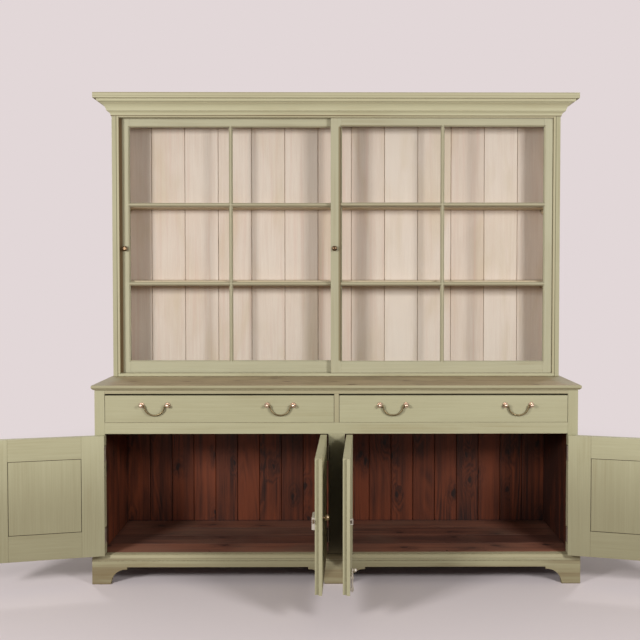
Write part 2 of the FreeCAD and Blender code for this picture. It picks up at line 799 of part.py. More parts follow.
# Drawers: front, box and bottom, with two swan-neck handles each
drawer_space = outer_inside - s.muntin_width / 2
drawer_width = drawer_space - s.drawer_side_gap * 2
drawer_level = drawer_foot + s.drawer_foot_gap
drawer_height = s.drawer_space_height - s.drawer_foot_gap - s.drawer_top_gap
drawer_depth = back_face - s.drawer_back_gap
handle_level = drawer_level + s.handle_lift
ball_place = -s.post_length
pin_place = -s.bail_pin_ahead


def bail_wire(half_spread):
    """The centre line of a bail that hangs in the XZ plane from a pin line at Z = 0."""
    shoulder = half_spread - s.bail_shoulder_inset.value
    drop = s.bail_drop.value
    end = Vector(half_spread + s.bail_end_reach.value, 0, 0)
    corners = [(Vector(shoulder * a, 0, -drop * b), drop * r) for a, b, r in BAIL_SHARES]
    mirrored = [(Vector(-spot.x, 0, spot.z), radius) for spot, radius in reversed(corners)]
    stops = mirrored + corners
    edges = []
    before = Vector(-end.x, 0, 0)
    for number, (spot, radius) in enumerate(stops):
        after = stops[number + 1][0] if number + 1 < len(stops) else end
        into = (spot - before).normalize()
        out = (after - spot).normalize()
        half_turn = into.getAngle(out) / 2
        trim = radius * math.tan(half_turn)
        start = spot - into * trim
        finish = spot + out * trim
        middle_way = (out - into).normalize()
        middle = spot + middle_way * (radius / math.cos(half_turn) - radius)
        edges.append(Part.LineSegment(edges[-1].EndPoint if edges else before, start))
        edges.append(Part.Arc(start, middle, finish))
        before = spot
    edges.append(Part.LineSegment(edges[-1].EndPoint, end))
    return Part.Wire([edge.toShape() for edge in edges])


def bail(name, middle):
    """One swinging bail: a round rod bent along its centre line."""
    wire = bail_wire((s.handle_spread / 2).value)
    start = wire.OrderedVertexes[0].Point
    profile = Part.Wire(Part.makeCircle(s.bail_radius.value, start, Vector(1, 0, 0)))
    item = doc.addObject("Part::Feature", name)
    item.Shape = wire.makePipeShell([profile], True, False, SWEEP_CORNER_MODE)
    node(name, place(item, (middle, pin_place, handle_level)))


def post(name, across):
    """A rosette, a ball head and the tapered stem between them, bored across for one end of a bail."""
    stem = doc.addObject("Part::Cone", f"{name}_stem")
    bind(stem, "Radius1", s.post_foot_radius)
    bind(stem, "Radius2", s.post_neck_radius)
    bind(stem, "Height", s.post_length)
    place(stem, (across, 0, handle_level), (1, 0, 0), QUARTER_TURN)
    ball = doc.addObject("Part::Sphere", f"{name}_ball")
    bind(ball, "Radius", s.post_ball_radius)
    place(ball, (across, ball_place, handle_level))
    plate_start = (across, -s.rosette_thick, handle_level)
    plate = rod(f"{name}_rosette", plate_start, s.rosette_radius, s.rosette_thick, "y")
    reach = s.post_ball_radius + s.overrun
    hole_start = (across - reach, pin_place, handle_level)
    hole = rod(f"{name}_hole", hole_start, s.bail_radius + s.bail_pin_gap, reach * 2, "x")
    return cut(name, fuse(f"{name}_solid", [plate, stem, ball]), [hole])


def drawer(side_name, left, handle_insets):
    """One drawer with its box, bottom, four posts and two bails."""
    name = f"drawer_{side_name}"
    front_back = s.drawer_front_thick
    box_left = left + s.drawer_side_inset
    box_width = drawer_width - s.drawer_side_inset * 2
    side_length = drawer_depth - front_back
    thick = s.drawer_side_thick
    bottom = board(
        f"{name}_bottom",
        (box_left + thick - s.drawer_groove_depth, front_back, drawer_level + s.drawer_bottom_lift),
        (box_width - (thick - s.drawer_groove_depth) * 2, side_length, s.drawer_bottom_thick),
    )
    side_size = (thick, side_length, s.drawer_side_height)
    sides = [
        board(f"{name}_side_left", (box_left, front_back, drawer_level), side_size),
        board(f"{name}_side_right", (box_left + box_width - thick, front_back, drawer_level), side_size),
    ]
    bottom_top = s.drawer_bottom_lift + s.drawer_bottom_thick
    back = board(
        f"{name}_back", (box_left + thick, drawer_depth - thick, drawer_level + bottom_top),
        (box_width - thick * 2, thick, s.drawer_side_height - bottom_top),
    )
    front_size = (drawer_width, front_back, drawer_height)
    node(f"{name}_front", board(f"{name}_front", (left, 0, drawer_level), front_size))
    grooved = cut(f"{name}_sides", group(f"{name}_side_pair", sides), [bottom])
    node(f"{name}_box", group(f"{name}_box", [grooved, back, bottom]))
    spread = s.handle_spread / 2
    handle_places = (left + handle_insets[0], left + drawer_width - handle_insets[1])
    posts = [
        post(f"{name}_post_{number}", across)
        for number, across in enumerate(
            [middle + step for middle in handle_places for step in (-spread, spread)], start=1
        )
    ]
    node(f"{name}_handle_posts", group(f"{name}_handle_posts", posts))
    for number, middle in enumerate(handle_places, start=1):
        bail(f"{name}_bail_{number}", middle)


handle_insets = (s.handle_outer_inset, s.handle_inner_inset)
drawer("left", s.drawer_side_gap - outer_inside, handle_insets)
drawer("right", s.muntin_width / 2 + s.drawer_side_gap, handle_insets[::-1])

# Doors, each drawn closed about its hinge pin: X along the door, Y into the cupboard
pin_ahead = s.knuckle_radius + s.knuckle_gap
pin_span = outer_inside - centre_side - s.door_edge_gap
door_width = (pin_span + s.door_rebate_width - s.door_meeting_gap) / 2
door_foot = s.floor_height + s.door_foot_gap
door_height = opening_top - s.door_top_gap - door_foot
door_back = pin_ahead + s.door_thick
free_inner = door_width - s.door_rebate_width
latch_middle = door_foot + s.latch_lift
bolt_ahead = door_back + s.bolt_plate_thick + s.bolt_guide_thick / 2
bolt_knob_rise = s.bolt_plate_height + s.bolt_travel + s.bolt_end_gap + s.bolt_rod_radius
bolt_rod_length = s.bolt_plate_lift - s.bolt_rod_foot + bolt_knob_rise + s.bolt_knob_drop


def handed(hand, x, dx):
    """The lowest X of a piece from x to x + dx, on a door that points to the right or to the left."""
    return as_size(x) if hand > 0 else -(as_size(x) + dx)


def hinge_places():
    """The levels of the two hinges' lower ends."""
    return (door_foot + s.hinge_end_place, door_foot + door_height - s.hinge_end_place - s.hinge_length)


def hinge_leaf(name, hand, level, moving):
    """A leaf let into an edge: the door's has the middle knuckle, the frame's the outer two and the pin."""
    leaf_place = s.hinge_leaf_gap / 2
    side = hand if moving else -hand
    left = handed(side, leaf_place, s.hinge_leaf_thick)
    knuckle = (s.hinge_length - s.knuckle_gap * 2) / 3
    step = knuckle + s.knuckle_gap
    levels = [level + step] if moving else [level, level + step * 2]
    thick = s.hinge_leaf_thick
    pieces = [board(f"{name}_leaf", (left, pin_ahead, level), (thick, s.hinge_leaf_width, s.hinge_length))]
    for number, start in enumerate(levels, start=1):
        pieces.append(board(f"{name}_web_{number}", (left, 0, start), (thick, pin_ahead, knuckle)))
        pieces.append(rod(f"{name}_knuckle_{number}", (0, 0, start), s.knuckle_radius, knuckle))
    if moving:
        bore = rod(f"{name}_bore", (0, 0, level), s.hinge_pin_radius + s.hinge_pin_play, s.hinge_length)
        return cut(name, fuse(f"{name}_solid", pieces), [bore])
    pieces.append(rod(f"{name}_pin", (0, 0, level), s.hinge_pin_radius, s.hinge_length))
    return fuse(name, pieces)


def door_wood(name, hand, laps_over):
    """Two stiles, two rails and a panel; the meeting stile is rebated behind or in front."""
    edge = s.door_edge_gap / 2
    rail_left = edge + s.door_stile_width
    rail_length = door_width - s.door_stile_width - rail_left
    top_rail_foot = door_foot + door_height - s.door_top_rail
    light_foot = door_foot + s.door_bottom_rail
    light_height = door_height - s.door_bottom_rail - s.door_top_rail

    def piece(part_name, x, y, z, dx, dy, dz):
        return board(f"{name}_{part_name}", (handed(hand, x, dx), y, z), (dx, dy, dz))

    members = [
        piece("hinge_stile", edge, pin_ahead, door_foot, s.door_stile_width, s.door_thick, door_height),
        piece("free_stile", door_width - s.door_stile_width, pin_ahead, door_foot,
              s.door_stile_width, s.door_thick, door_height),
        piece("rail_bottom", rail_left, pin_ahead, door_foot, rail_length, s.door_thick, s.door_bottom_rail),
        piece("rail_top", rail_left, pin_ahead, top_rail_foot, rail_length, s.door_thick, s.door_top_rail),
    ]
    panel_front = door_back - s.panel_thick
    tongue = s.panel_tongue
    groove = tongue + s.panel_play
    joint = s.panel_joint
    flare = s.panel_moulding_width
    rebate_depth = (s.door_thick + s.door_rebate_gap) / 2
    rebate_front = door_back - rebate_depth if laps_over else pin_ahead - s.overrun
    tools = [
        piece("groove", rail_left - groove, panel_front, light_foot - groove,
              rail_length + groove * 2, s.panel_tongue_thick, light_height + groove * 2),
        funnel(f"{name}_moulding", (handed(hand, rail_left, rail_length), pin_ahead, light_foot),
               rail_length, s.panel_moulding_depth, light_height, flare),
        piece("rebate", free_inner, rebate_front, door_foot - s.overrun,
              s.door_rebate_width + s.overrun, rebate_depth + s.overrun, door_height + s.overrun * 2),
    ]
    for number, level in enumerate(hinge_places(), start=1):
        tools.append(piece(f"hinge_bed_{number}", s.hinge_leaf_gap / 2, pin_ahead, level,
                           s.hinge_leaf_thick, s.hinge_leaf_width, s.hinge_length))
    if laps_over:
        knob_x = free_inner - s.latch_knob_place
        hole_x = knob_x if hand > 0 else -knob_x
        tools.append(rod(f"{name}_spindle_hole", (hole_x, pin_ahead - s.overrun, latch_middle),
                         s.spindle_radius + s.spindle_play, s.door_thick + s.overrun * 2, "y"))
    panel = fuse(f"{name}_panel", [
        piece("panel_field", rail_left + joint, panel_front, light_foot + joint,
              rail_length - joint * 2, s.panel_thick, light_height - joint * 2),
        piece("panel_tongue", rail_left - tongue, panel_front, light_foot - tongue,
              rail_length + tongue * 2, s.panel_tongue_thick, light_height + tongue * 2),
    ])
    return group(f"{name}_wood", [cut(f"{name}_members", group(f"{name}_blanks", members), tools), panel])


def latch(name, hand):
    """A rim latch: case with its tongue, and a knob on a spindle through the stile."""

    def piece(part_name, x, y, z, dx, dy, dz):
        return board(f"{name}_{part_name}", (handed(hand, x, dx), y, z), (dx, dy, dz))

    wall = s.latch_wall
    case_left = free_inner - s.latch_length
    case_foot = latch_middle - s.latch_case_drop
    play = s.tongue_play
    mouth_height = s.tongue_height + play * 2
    shell = piece("shell", case_left, door_back, case_foot, s.latch_length, s.latch_thick, s.latch_height)
    cavity = fuse(f"{name}_cavity", [
        piece("hollow", case_left + wall, door_back - s.overrun, case_foot + wall,
              s.latch_length - wall * 2, s.overrun + s.latch_thick - wall, s.latch_height - wall * 2),
        piece("mouth", free_inner - wall * 2, door_back + s.tongue_lift - play,
              latch_middle - mouth_height / 2,
              wall * 2 + s.overrun, s.tongue_thick + play * 2, mouth_height),
    ])
    case = cut(f"{name}_case", shell, [cavity])
    tongue = piece("tongue_blank", free_inner - s.tongue_hidden, door_back + s.tongue_lift,
                   latch_middle - s.tongue_height / 2,
                   s.tongue_hidden + s.tongue_reach, s.tongue_thick, s.tongue_height)
    knob_x = free_inner - s.latch_knob_place
    knob_x = knob_x if hand > 0 else -knob_x
    head = turned(
        f"{name}_knob_head", KNOB_SHARES, KNOB_ARC_SHARES, s.latch_knob_radius, s.latch_knob_length,
    )
    knob_start = (knob_x, pin_ahead - s.knuckle_gap, latch_middle)
    place(head, knob_start, (1, 0, 0), QUARTER_TURN)
    spindle = rod(f"{name}_spindle", knob_start, s.spindle_radius,
                  s.knuckle_gap + s.door_thick + s.latch_thick - wall - play, "y")
    return case, fuse(f"{name}_knob", [head, spindle]), group(f"{name}_tongue", [tongue])


def keep(name, hand):
    """The hooked keep on the partner door that the tongue slides behind."""

    def piece(part_name, x, y, z, dx, dy, dz):
        return board(f"{name}_{part_name}", (handed(hand, x, dx), y, z), (dx, dy, dz))

    play = s.keep_play
    wall = s.keep_wall
    mouth = s.tongue_height + play * 2
    depth = s.tongue_lift + s.tongue_thick + play
    left = door_width - s.keep_length
    shell = piece("shell", left, door_back, latch_middle - mouth / 2 - wall,
                  s.keep_length, depth + wall, mouth + wall * 2)
    hollow = piece("hollow", left + wall, door_back - s.overrun, latch_middle - mouth / 2,
                   s.keep_length - wall + s.overrun, s.overrun + depth, mouth)
    return cut(name, shell, [hollow])


def bolt(name, hand):
    """A tower bolt: a plate with two guides, and a rod with a knob at its top."""
    across = door_width - s.bolt_place
    middle = across if hand > 0 else -across
    plate_foot = door_foot + s.bolt_plate_lift
    plate_back = door_back + s.bolt_plate_thick
    guide_width = s.bolt_guide_thick
    plate = board(
        f"{name}_back_plate", (middle - s.bolt_plate_width / 2, door_back, plate_foot),
        (s.bolt_plate_width, s.bolt_plate_thick, s.bolt_plate_height),
    )
    guides = [
        board(f"{name}_guide_{number}", (middle - guide_width / 2, plate_back, level),
              (guide_width, s.bolt_guide_thick, s.bolt_guide_height))
        for number, level in enumerate(
            (plate_foot, plate_foot + s.bolt_plate_height - s.bolt_guide_height), start=1)
    ]
    bore_radius = s.bolt_rod_radius + s.bolt_rod_play
    bore = rod(f"{name}_bore", (middle, bolt_ahead, door_foot), bore_radius, bolt_rod_length)
    body = cut(f"{name}_plate", fuse(f"{name}_plate_solid", [plate] + guides), [bore])
    rod_foot = door_foot + s.bolt_rod_foot
    shank = rod(f"{name}_shank", (middle, bolt_ahead, rod_foot), s.bolt_rod_radius, bolt_rod_length)
    neck_level = plate_foot + bolt_knob_rise
    neck = rod(f"{name}_neck", (middle, bolt_ahead, neck_level), s.bolt_rod_radius, s.bolt_guide_thick, "y")
    ball = doc.addObject("Part::Sphere", f"{name}_ball")
    bind(ball, "Radius", s.bolt_knob_radius)
    place(ball, (middle, bolt_ahead + s.bolt_guide_thick, neck_level))
    return body, fuse(f"{name}_rod", [shank, neck, ball])


# Each door: its name, the stile that it hangs on, 1 or -1 for the way it points when closed,
# whether its rebate laps over the partner door, the edge of its opening, and how far it stands open
DOORS = (
    ("door_outer_left", "left", 1, False, -outer_inside, s.outer_left_open_angle),
    ("door_inner_left", "centre", -1, True, -centre_side, s.inner_left_open_angle),
    ("door_inner_right", "centre", 1, False, centre_side, s.inner_right_open_angle),
    ("door_outer_right", "right", -1, True, outer_inside, s.outer_right_open_angle),
)
frame_leaves = []
frame_beds = {"left": [], "centre": [], "right": []}
bolt_holes = []
for name, stile_name, hand, laps_over, edge_place, opened in DOORS:
    pin_place = edge_place + (s.door_edge_gap / 2 if hand > 0 else -s.door_edge_gap / 2)
    opening_axis = (0, 0, -hand)

    def hang(label, item):
        """Turns a piece of this door about its hinge pin to where the door stands open."""
        return node(label, place(item, (pin_place, -pin_ahead, 0), opening_axis, opened))

    levels = hinge_places()
    hang(name, door_wood(name, hand, laps_over))
    leaves = [
        hinge_leaf(f"{name}_leaf_{number}", hand, level, True)
        for number, level in enumerate(levels, start=1)
    ]
    hang(f"{name}_hinge_leaves", group(f"{name}_leaf_pair", leaves))
    for number, level in enumerate(levels, start=1):
        fixed = hinge_leaf(f"{name}_fixed_leaf_{number}", hand, level, False)
        frame_leaves.append(place(fixed, (pin_place, -pin_ahead, 0)))
        bed_left = pin_place + handed(-hand, s.hinge_leaf_gap / 2, s.hinge_leaf_thick)
        frame_beds[stile_name].append(board(
            f"{name}_frame_bed_{number}", (bed_left, 0, level),
            (s.hinge_leaf_thick, s.hinge_leaf_width, s.hinge_length),
        ))
    if laps_over:
        case, knob, tongue = latch(f"{name}_latch", hand)
        hang(f"{name}_latch_case", case)
        hang(f"{name}_latch_knob", knob)
        hang(f"{name}_latch_tongue", tongue)
    else:
        plate, shank = bolt(f"{name}_bolt", hand)
        hang(f"{name}_fittings", group(f"{name}_fittings", [plate, keep(f"{name}_keep", hand)]))
        hang(f"{name}_bolt_rod", shank)
        across = door_width - s.bolt_place
        hole_x = pin_place + (across if hand > 0 else -across)
        hole_start = (hole_x, bolt_ahead - pin_ahead, floor_foot - s.overrun)
        hole_radius = s.bolt_rod_radius + s.bolt_hole_play
        bolt_holes.append(rod(f"{name}_bolt_hole", hole_start, hole_radius, s.floor_thick + s.overrun * 2))
node("frame_hinge_leaves", group("frame_hinge_leaves", frame_leaves))
node("face_frame_stiles", group("face_frame_stiles", [
    cut(f"stile_{side_name}_bedded", stile, frame_beds[side_name])
    for side_name, stile in frame_stiles.items()
]))

# Floor boards along the length, bored for the two bolts
floor_board_count = int(s.floor_board_count.value)
floor_pitch = inner_depth / floor_board_count
floor_boards = [
    board(
        f"floor_board_{number + 1}",
        (-inner_half, s.frame_thick + floor_pitch * number, floor_foot),
        (inner_half * 2, floor_pitch - s.floor_board_gap, s.floor_thick),
    )
    for number in range(floor_board_count)
]
node("base_floor_boards", cut("base_floor_boards", group("floor_plain", floor_boards), bolt_holes))

# Checks and export
doc.recompute()
broken = [item.Name for item in doc.Objects if "Invalid" in item.State or "Error" in item.State]
broken += [item.Label for item in nodes if item.Shape.isNull() or not item.Shape.isValid()]
if broken:
    raise SystemExit(f"these objects failed: {broken}")
os.makedirs("parts", exist_ok=True)
for item in nodes:
    item.Shape.exportStep(f"parts/{item.Label}.step")
print(len(nodes), "nodes,", sum(len(item.Shape.Solids) for item in nodes), "solids")
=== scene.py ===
import json
import math
import random

import bmesh
import bpy
from mathutils import Matrix, Vector

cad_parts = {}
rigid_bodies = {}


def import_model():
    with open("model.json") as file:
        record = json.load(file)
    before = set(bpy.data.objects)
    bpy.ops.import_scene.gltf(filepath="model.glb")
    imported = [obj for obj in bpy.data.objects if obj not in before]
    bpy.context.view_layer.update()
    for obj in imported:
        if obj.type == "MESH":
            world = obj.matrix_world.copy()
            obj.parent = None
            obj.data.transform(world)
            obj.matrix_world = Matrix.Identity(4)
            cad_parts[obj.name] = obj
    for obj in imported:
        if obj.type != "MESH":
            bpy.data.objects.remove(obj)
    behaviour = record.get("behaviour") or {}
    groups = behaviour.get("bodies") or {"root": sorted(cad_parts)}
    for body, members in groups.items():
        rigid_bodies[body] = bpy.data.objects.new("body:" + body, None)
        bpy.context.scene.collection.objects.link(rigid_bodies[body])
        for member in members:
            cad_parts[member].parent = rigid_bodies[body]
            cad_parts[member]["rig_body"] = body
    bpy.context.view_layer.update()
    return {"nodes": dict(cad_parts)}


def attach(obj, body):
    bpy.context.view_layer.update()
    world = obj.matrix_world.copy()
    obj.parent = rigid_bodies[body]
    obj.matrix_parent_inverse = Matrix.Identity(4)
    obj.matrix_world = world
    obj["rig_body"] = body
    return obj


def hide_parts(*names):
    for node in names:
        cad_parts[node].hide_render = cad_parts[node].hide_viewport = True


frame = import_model()

# Base carcass. Softwood boards glued and nailed into a box: two sides, a partition, a floor of four
# boards and a back of nineteen tongued boards with vee joints. The inside is stained a dark red brown and
# shows its knots; the outside of the sides has the sage paint of the front, and the back is left bare.

WELD = 1e-6
FLAT_ANGLE = math.radians(0.5)
ARRIS_ANGLE = math.radians(30)
SHARP_ANGLE = math.radians(40)
ARRIS = 0.0011
PATTERN_SHIFT = 9.0
SLIM_WIDTH = 0.02
MIXED_COLOUR = 2
JOINT = 0.001
TONGUE_FRONT = 0.507
TONGUE_BACK = 0.511
board_draw = random.Random(11)


def tone(red, green, blue):
    """A colour read as on a paint chart, 0 to 255, turned into the light values that a shader takes."""
    shares = [value / 255 for value in (red, green, blue)]
    return [*(s / 12.92 if s <= 0.04045 else ((s + 0.055) / 1.055) ** 2.4 for s in shares), 1]


class Shade:
    """A socket of a node tree. Sums written on it add the Math nodes that work them out."""

    def __init__(self, nodes, socket):
        self.nodes = nodes
        self.socket = socket

    def sum(self, operation, *others):
        sockets = dict(zip(("Value", "Value_001", "Value_002"), (self, *others)))
        return self.nodes.node("ShaderNodeMath", {"operation": operation}, sockets)

    def __add__(self, other):
        return self.sum("ADD", other)

    def __sub__(self, other):
        return self.sum("SUBTRACT", other)

    def __mul__(self, other):
        return self.sum("MULTIPLY", other)

    def __rsub__(self, other):
        return self.sum("MULTIPLY_ADD", -1, other)

    def __abs__(self):
        return self.sum("ABSOLUTE")

    __radd__ = __add__
    __rmul__ = __mul__

    def rise(self, low, high):
        """0 below low and 1 above high, with a soft step between them."""
        sockets = {"Value": self, "From Min": low, "From Max": high}
        return self.nodes.node("ShaderNodeMapRange", {"interpolation_type": "SMOOTHSTEP"}, sockets)

    def past(self, plane):
        """0 before a plane and 1 beyond it, with a hard step."""
        return self.rise(plane, plane + WELD)


class Nodes:
    """A node tree. Each node that is added to it comes from its node method."""

    def __init__(self, tree):
        self.tree = tree

    def feed(self, node, sockets):
        by_name = {socket.identifier: socket for socket in node.inputs}
        for name, value in sockets.items():
            if isinstance(value, Shade):
                self.tree.links.new(by_name[name], value.socket)
            else:
                by_name[name].default_value = value

    def node(self, kind, settings, sockets, output=0):
        made = self.tree.nodes.new(kind)
        for name, value in settings.items():
            setattr(made, name, value)
        self.feed(made, sockets)
        return Shade(self, made.outputs[output])

    def mix(self, share, first, second, how="MIX"):
        sockets = {"Factor_Float": share, "A_Color": first, "B_Color": second}
        return self.node("ShaderNodeMix", {"data_type": "RGBA", "blend_type": how}, sockets, MIXED_COLOUR)


class Finish(Nodes):
    """A material that is mixed step by step on its Principled shader."""

    def __init__(self, name, **constants):
        self.material = bpy.data.materials.new(name)
        self.material.use_nodes = True
        super().__init__(self.material.node_tree)
        self.shader = self.tree.nodes["Principled BSDF"]
        self.feed(self.shader, {key.replace("_", " "): value for key, value in constants.items()})
        self.spot = self.node("ShaderNodeTexCoord", {}, {}, "Object")

    def attribute(self, name, output="Vector"):
        return self.node("ShaderNodeAttribute", {"attribute_name": name}, {}, output)

    def stretch(self, place, scale):
        sockets = {"Vector": place, "Vector_001": scale}
        return self.node("ShaderNodeVectorMath", {"operation": "MULTIPLY"}, sockets)

    def part(self, place, axis):
        return self.node("ShaderNodeSeparateXYZ", {}, {"Vector": place}, axis)

    def measure(self, axis):
        """How far a point of the piece at rest lies along an axis of the frame."""
        return self.part(self.spot, axis)

    def noise(self, place, scale, detail=2, sway=0):
        """Clouds from 0 to 1. The scale says how many follow each other in a metre along each axis."""
        sockets = {"Vector": self.stretch(place, scale), "Scale": 1, "Detail": detail, "Distortion": sway}
        return self.node("ShaderNodeTexNoise", {}, sockets)

    def hollow(self, reach):
        """Near 1 in corners and joints, 0 on open faces."""
        return 1 - self.node("ShaderNodeAmbientOcclusion", {"samples": 6}, {"Distance": reach}, "AO")

    def arris(self, radius):
        """Above 0 within that radius of a sharp edge."""
        rounded = self.node("ShaderNodeBevel", {"samples": 4}, {"Radius": radius})
        plain = self.node("ShaderNodeNewGeometry", {}, {}, "Normal")
        along = self.node("ShaderNodeVectorMath", {"operation": "DOT_PRODUCT"},
                          {"Vector": rounded, "Vector_001": plain}, "Value")
        return 1 - along

    def lay(self, colour, relief, roughness=0.62, depth=0.0004):
        """Puts a colour, a relief of that depth in metres and a roughness on the surface."""
        bump = self.node("ShaderNodeBump", {}, {"Height": relief, "Distance": depth})
        self.feed(self.shader, {"Base Color": colour, "Roughness": roughness, "Normal": bump})
        return self.material


def solids_of(mesh):
    """The mesh's faces in lists, one per solid. A solid is closed once each edge has been met twice."""
    numbers = {}
    corner = [numbers.setdefault(tuple(round(c / WELD) for c in v.co), len(numbers)) for v in mesh.vertices]
    solids = []
    faces = []
    open_edges = set()
    for polygon in mesh.polygons:
        ring = [corner[index] for index in polygon.vertices]
        for start, end in zip(ring, ring[1:] + ring[:1]):
            if (end, start) in open_edges:
                open_edges.remove((end, start))
            else:
                open_edges.add((start, end))
        faces.append((ring, [mesh.vertices[index].co for index in polygon.vertices]))
        if not open_edges:
            solids.append(faces)
            faces = []
    return solids


def mesh_of(name, bm):
    """Ends a shape as a mesh."""
    mesh = bpy.data.meshes.new(name)
    bm.to_mesh(mesh)
    bm.free()
    return mesh


def worked_board(faces, arris):
    """One solid as a board: flat faces whole, arrises eased, and its tint, its width and a place stored.

    The place is measured across the board, through it and along its grain.
    """
    bm = bmesh.new()
    vertices = {}
    for ring, points in faces:
        for number, point in zip(ring, points):
            if number not in vertices:
                vertices[number] = bm.verts.new(point)
        bm.faces.new([vertices[number] for number in ring])
    bmesh.ops.dissolve_limit(bm, angle_limit=FLAT_ANGLE, verts=bm.verts, edges=bm.edges)
    bm.normal_update()
    corners = [edge for edge in bm.edges if edge.calc_face_angle(0) > ARRIS_ANGLE]
    longest = max(corners, key=lambda edge: edge.calc_length())
    along = (longest.verts[1].co - longest.verts[0].co).normalized()
    broad = max(bm.faces, key=lambda face: face.calc_area()).normal
    broad = (broad - along * broad.dot(along)).normalized()
    axes = Matrix((broad.cross(along), broad, along))
    bmesh.ops.bevel(bm, geom=[edge for edge in corners if edge.is_convex], offset=arris, offset_type="OFFSET",
                    segments=2, profile=0.5, affect="EDGES", clamp_overlap=True)
    placed = [axes @ vertex.co for vertex in bm.verts]
    low = Vector(map(min, *placed))
    high = Vector(map(max, *placed))
    middle = (low + high) / 2
    shift = Vector([board_draw.uniform(-PATTERN_SHIFT, PATTERN_SHIFT) for _ in range(3)])
    tint = board_draw.random()
    place_layer = bm.verts.layers.float_vector.new("board")
    tint_layer = bm.verts.layers.float.new("tint")
    width_layer = bm.verts.layers.float.new("width")
    for vertex, point in zip(bm.verts, placed):
        vertex[place_layer] = point - middle + shift
        vertex[tint_layer] = tint
        vertex[width_layer] = high.x - low.x
    return mesh_of("board", bm)


def new_object(name, data):
    """An object made of that data, put into the scene."""
    made = bpy.data.objects.new(name, data)
    bpy.context.scene.collection.objects.link(made)
    return made


def stand(name, bm, material, body, slot):
    """Ends a shape as a piece of that material, which rides on a body."""
    piece = new_object(name, mesh_of(name, bm))
    piece.data.materials.append(material)
    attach(piece, body)
    return piece


def work_wood(node, slot, material, arris=ARRIS, last_arris=None):
    """Stands worked boards in the place of a CAD node's solids; the last one can have a wider arris."""
    solids = solids_of(frame["nodes"][node].data)
    widths = [arris] * (len(solids) - 1) + [last_arris or arris]
    bm = bmesh.new()
    for faces, width in zip(solids, widths):
        bm.from_mesh(worked_board(faces, width))
    piece = stand(f"{node}_wood", bm, material, frame["nodes"][node]["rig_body"], slot)
    piece.data.shade_smooth()
    piece.data.set_sharp_from_angle(angle=SHARP_ANGLE)
    evened = piece.modifiers.new("evened", "WEIGHTED_NORMAL")
    evened.keep_sharp = True
    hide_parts(node)


def fill_joints(name, joints, foot, head, slot, material):
    """The tongues that close the joints of a boarded back, one strip for each joint."""
    bm = bmesh.new()
    for left in joints:
        middle = (left + JOINT / 2, (TONGUE_FRONT + TONGUE_BACK) / 2, (foot + head) / 2)
        size = (JOINT, TONGUE_BACK - TONGUE_FRONT, head - foot)
        bmesh.ops.create_cube(bm, size=1, matrix=Matrix.LocRotScale(middle, None, size))
    stand(name, bm, material, "carcass", slot)


def pine(finish, pale, dark, knotty, figure=0.35, tint_share=0.5):
    """Pine: streaks and fine fibre along the grain, a veil of rings, knots in whorls, a tint per board."""
    board = finish.attribute("board")
    tint = finish.attribute("tint", "Fac")
    bend = finish.noise(board, (30, 30, 14), 3)
    face = {"X": finish.part(board, "X") * 8 + bend * 0.3, "Y": finish.part(board, "Z") * 4.2 + bend * 0.22}
    cells = {"Vector": finish.node("ShaderNodeCombineXYZ", {}, face), "Scale": 1, "Randomness": 1}
    flat = {"voronoi_dimensions": "2D"}
    distance = finish.node("ShaderNodeTexVoronoi", flat, cells, "Distance")
    chosen = finish.part(finish.node("ShaderNodeTexVoronoi", flat, cells, "Color"), "X").rise(0.6, 0.61)
    knot = (1 - distance.rise(0.04, 0.11)) * chosen
    around = (1 - distance.rise(0.08, 0.45)) * chosen
    whorl = (distance * 60).sum("SINE") * around
    smudge = finish.noise(board, (34, 34, 13), 3, 0.8).rise(0.5, 0.64) * around
    sway = finish.noise(board, (6.5, 3, 0.75), 2, 0.4)
    ring = ((finish.part(board, "X") * 34 + sway * 17 + around * 2) * math.tau).sum("SINE")
    veil = finish.noise(board, (7, 7, 1.2)).rise(0.4, 0.65)
    streak = finish.noise(board, (55, 55, 1.3), 4)
    fibre = finish.noise(board, (560, 560, 9), 3)
    cloud = finish.noise(board, (9, 9, 2.6), 3, 0.5)
    lines = ring * veil * figure + whorl * 0.16
    share = lines * 0.5 + streak * 1.1 + fibre * 0.45 + cloud * 0.9 + (tint - 0.5) * tint_share - 0.72
    colour = finish.mix(share.rise(0.05, 0.95), pale, dark)
    colour = finish.mix(around * 0.3 + smudge * 0.5, colour, dark)
    colour = finish.mix(knot * 0.85, colour, knotty)
    return colour, ring * veil * 0.2 + whorl * 0.2 + fibre * 0.6 - knot * 0.4


SAGE = (tone(188, 184, 151), tone(169, 163, 130))
SLIM_SAGE = tone(158, 143, 110)
WORN_SAGE = tone(150, 134, 96)
UNDERSIDE_SHADE = tone(122, 100, 66)
BROAD_GRIME_AND_SHADE = tone(112, 96, 60)
TIGHT_GRIME_AND_SHADE = tone(78, 60, 34)
EDGE_WEAR_AND_HIGHLIGHT = (tone(203, 196, 166), tone(146, 120, 82))


